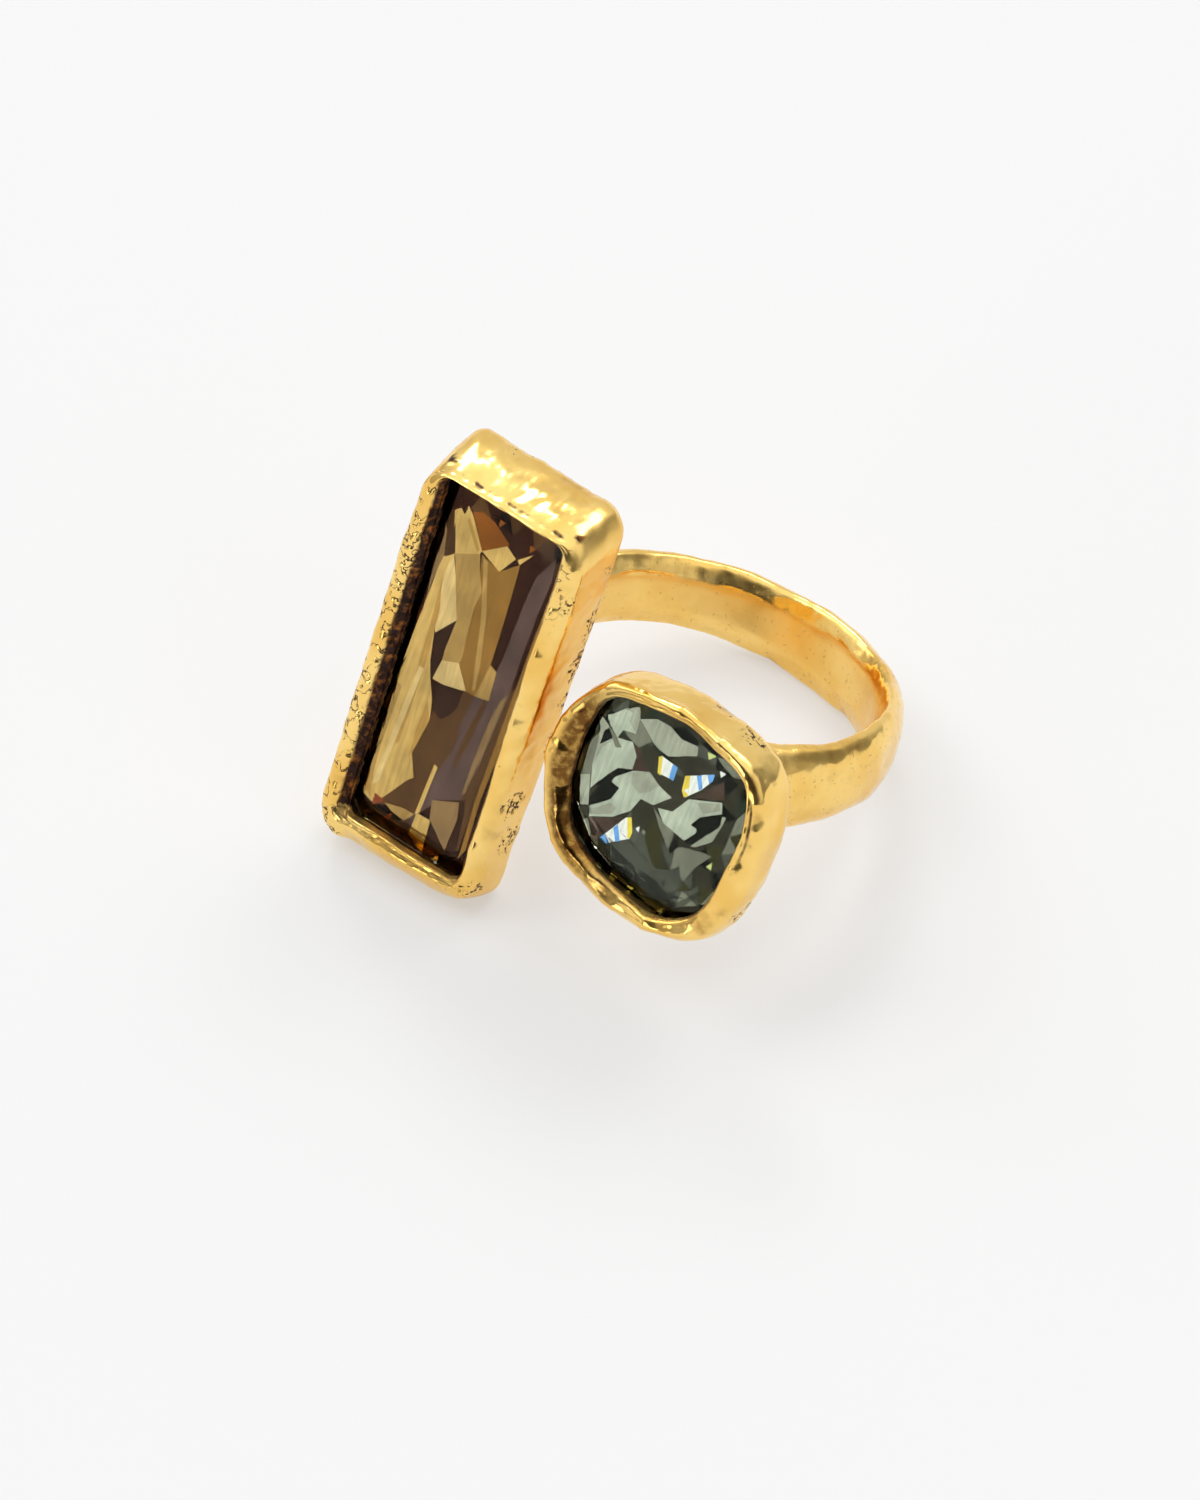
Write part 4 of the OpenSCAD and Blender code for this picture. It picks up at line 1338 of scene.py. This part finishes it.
cushion_girdle = CUSHION_TABLE + CROWN_H
cushion_stone_rings = [cushion_stone_ring(*row) for row in (
    (1.0, cushion_girdle + GIRDLE_LIFT, 0), (1.0, cushion_girdle, 0),
    (0.82, CUSHION_TABLE + 0.4 * CROWN_H, 1), (0.62, CUSHION_TABLE, 0))]
cushion_cap = skin("cushion_stone_cap", cushion_stone_rings,
                   CUSHION.place(0, cushion_girdle + GIRDLE_LIFT, 0),
                   CUSHION.place(0, CUSHION_TABLE, 0))
cushion_cap.data.materials.append(clear_glass("clear_grey_glass", (0.96, 0.99, 0.95)))

# %% The facets that show through its table
CUSHION_FACETS = [
    # (tint, corners as u, v, u, v, ...)
    # the top
    ("clear", [-367, 188, -281, 219, -232, 156, -230, 74, -308, 36, -349, -31, -410, -160,
        -448, -30, -427, 90]),
    ("clear", [-460, 270, -385, 359, -336, 361, -341, 310, -281, 266, -352, 245, -367, 188,
        -432, 229]),
    ("silver", [-386, 362, -307, 412, -286, 357, -281, 266, -341, 310, -336, 361]),
    ("grey", [-281, 266, -286, 357, -183, 282, -240, 210, -281, 219, -352, 245]),
    ("silver", [-286, 357, -198, 413, -92, 422, -30, 391, 72, 409, 86, 357, -65, 263, -129, 269,
        -187, 291]),
    ("black", [-108, 418, -35, 464, 69, 431, 72, 409, -30, 391]),
    ("rose", [-281, 219, -240, 210, -220, 188, -178, 143, -132, 120, -223, 71, -230, 74,
        -232, 156]),
    # the left arm of the star
    ("black", [-308, 36, -223, 71, -309, -24, -314, -57, -262, -65, -284, -150, -380, -253,
        -398, -206, -357, -90]),
    ("clear", [-309, -24, -223, 71, -141, 114, -55, 80, 33, 60, -50, -41, -127, -49, -157, -145,
        -239, -234, -359, -306, -380, -253, -284, -150, -262, -65, -314, -57]),
    ("silver", [-220, 63, -132, 120, -55, 80, -101, 9, -148, -27, -212, -3]),
    # the dark between the arms, with two flashes
    ("soot", [-227, 206, -199, 260, -122, 250, -102, 168, -11, 156, 62, 156, 94, 105, 63, 61,
        33, 60, -55, 80, -132, 120, -178, 143]),
    ("soot", [-16, 292, 86, 357, 183, 374, 266, 333, 216, 322, 66, 223, 17, 239, -48, 250]),
    ("white", [-101, 245, 6, 237, 7, 156, -86, 143]),
    ("yellow", [-114, 231, -93, 245, -68, 137, -91, 142]),
    ("blue", [-26, 240, 6, 237, 9, 151, -21, 155]),
    ("white", [66, 223, 215, 324, 218, 285, 177, 205, 105, 110, 74, 140]),
    ("yellow", [63, 221, 90, 239, 117, 126, 97, 105, 73, 133]),
    ("blue", [124, 262, 148, 279, 180, 213, 164, 191]),
    ("blue", [176, 298, 215, 324, 218, 285, 203, 256]),
    # the right arm
    ("rose", [276, 322, 313, 229, 154, 138]),
    ("clear", [128, 113, 309, 208, 330, 149, 223, 58, 189, -11, 232, -13, 232, -43, 187, -114,
        116, -106, 39, -96, -20, -39, 65, -8]),
    ("black", [223, 58, 333, 143, 343, 77, 232, -120, 185, -118, 235, -35, 232, -13, 194, -8]),
    ("silver", [343, 77, 335, 137, 358, 146, 354, 95, 334, -24, 263, -106, 232, -120]),
    ("grey", [-48, -46, 39, -96, 116, -106, 118, -141, 120, -210, 31, -137]),
    ("black", [120, -210, 141, -107, 170, -166, 141, -232]),
    ("grey", [180, -159, 313, -109, 359, -103, 294, -216, 256, -337, 209, -248]),
    # the foot, with the third flash
    ("moss", [-32, -88, 32, -142, 102, -258, 111, -342, 62, -343, -33, -226]),
    ("soot", [-125, -54, -50, -41, -43, -137, -62, -215, -115, -220, -150, -147]),
    ("slate", [-195, -379, -106, -291, -62, -215, -33, -226, 62, -343, 64, -378, -17, -455,
        -152, -458]),
    ("slate", [3, -442, 111, -342, 210, -283, 266, -330, 215, -483, 63, -534]),
    ("white", [-262, -381, -168, -195, -139, -175, -104, -248, -106, -291, -217, -387]),
    ("blue", [-262, -381, -243, -344, -197, -374, -221, -390]),
    ("blue", [-212, -288, -195, -253, -151, -333, -174, -353]),
    ("yellow", [-160, -189, -137, -174, -103, -248, -105, -287, -117, -295]),
    ("rose", [-356, -315, -182, -206, -264, -376, -300, -411]),
    # the left edge
    ("grey", [-448, -381, -366, -322, -300, -411, -346, -501, -446, -482]),
    ("silver", [-530, -153, -438, -88, -411, -172, -387, -252, -478, -305, -515, -239]),
    ("grey", [-550, -23, -507, 75, -469, 165, -448, -30, -438, -88, -527, -146]),
    ("silver", [-518, 245, -459, 235, -444, 227, -367, 188, -427, 90, -448, -30, -469, 165]),
    ("black", [-451, 182, -419, 226, -379, 186, -448, 95]),
    # shades over these
    ("grey", [-444, 227, -367, 188, -329, 153, -358, 134]),
    ("silver", [-359, -258, -277, -169, -236, -179, -254, -226, -348, -287]),
    ("silver", [173, 121, 301, 197, 316, 160, 235, 89]),
    # chips of light
    ("spark", [-232, -513, -193, -526, -217, -568]),
    ("spark", [-133, -526, -91, -531, -128, -574]),
    ("moss", [-184, -533, -133, -526, -139, -581]),
    ("white", [-288, -438, -255, -437, -274, -475]),
    ("spark", [-24, -533, 19, -524, -2, -570]),
    ("white", [234, 360, 271, 365, 253, 328]),
    ("spark", [133, 416, 185, 417, 154, 379]),
    ("white", [-494, -410, -464, -417, -478, -451]),
    ("spark", [352, -171, 375, -131, 386, -175]),
    ("white", [-94, -216, -77, -192, -70, -227]),
    ("white", [83, 142, 105, 169, 112, 135]),
]
print(len(CUSHION_FACETS), "facets in the cushion stone")

# %% The back of the cushion stone
CUSHION_BACK_AT, CUSHION_BACK_R, DISH_SIDES = 1.33, 5.9, 8
CUSHION_EDGE_ROWS = [(0.985, 0.90, 30), (0.90, 0.76, 24), (0.76, 0.58, 16), (0.58, 0.36, 12)]
CUSHION_EDGE_TINTS = ["soot", "moss", "black", "slate", "soot", "grey", "pine", "slate",
                      "black", "soot"]


def cushion_depth(u, v):
    """The back is a shallow eight-sided dish round the point where the star meets."""
    r, a = np.hypot(u, v), np.degrees(np.arctan2(v, u))
    side = 360 / DISH_SIDES
    ridge = r * np.cos(np.radians(a % side - side / 2))
    shake = BACK_SHAKE * np.sin(5.3 * u + 4.1 * v) * (r < 5.3)
    return CUSHION_BACK_AT + BACK_SLOPE * np.clip(CUSHION_BACK_R - ridge, 0, 6) + shake


_, u, v = cushion_outline(0, LIP_COVER - 0.02, FACETS)
outline = list(zip(u.tolist(), v.tolist()))
cushion_edge = edge_facets(outline, CUSHION_EDGE_ROWS, CUSHION_EDGE_TINTS, seed=4)
cushion_back = facet_sheet("cushion_stone_back", cushion_edge + in_mm(CUSHION_FACETS), outline,
                           "soot", depth_at=cushion_depth, foot=2.4, setting=CUSHION,
                           finish=mirrored_back("grey_foiled_back"))

# %% Give each stone its place, and hide its solid
for cap, back_piece, node, slot_name in (
    (long_cap, long_back, "long_stone", "brown_stone"),
    (cushion_cap, cushion_back, "cushion_stone", "grey_stone"),
):
    for piece in (cap, back_piece):
        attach(piece, "root")
    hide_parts(node)
    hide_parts(node)
    print(node, "is in place")
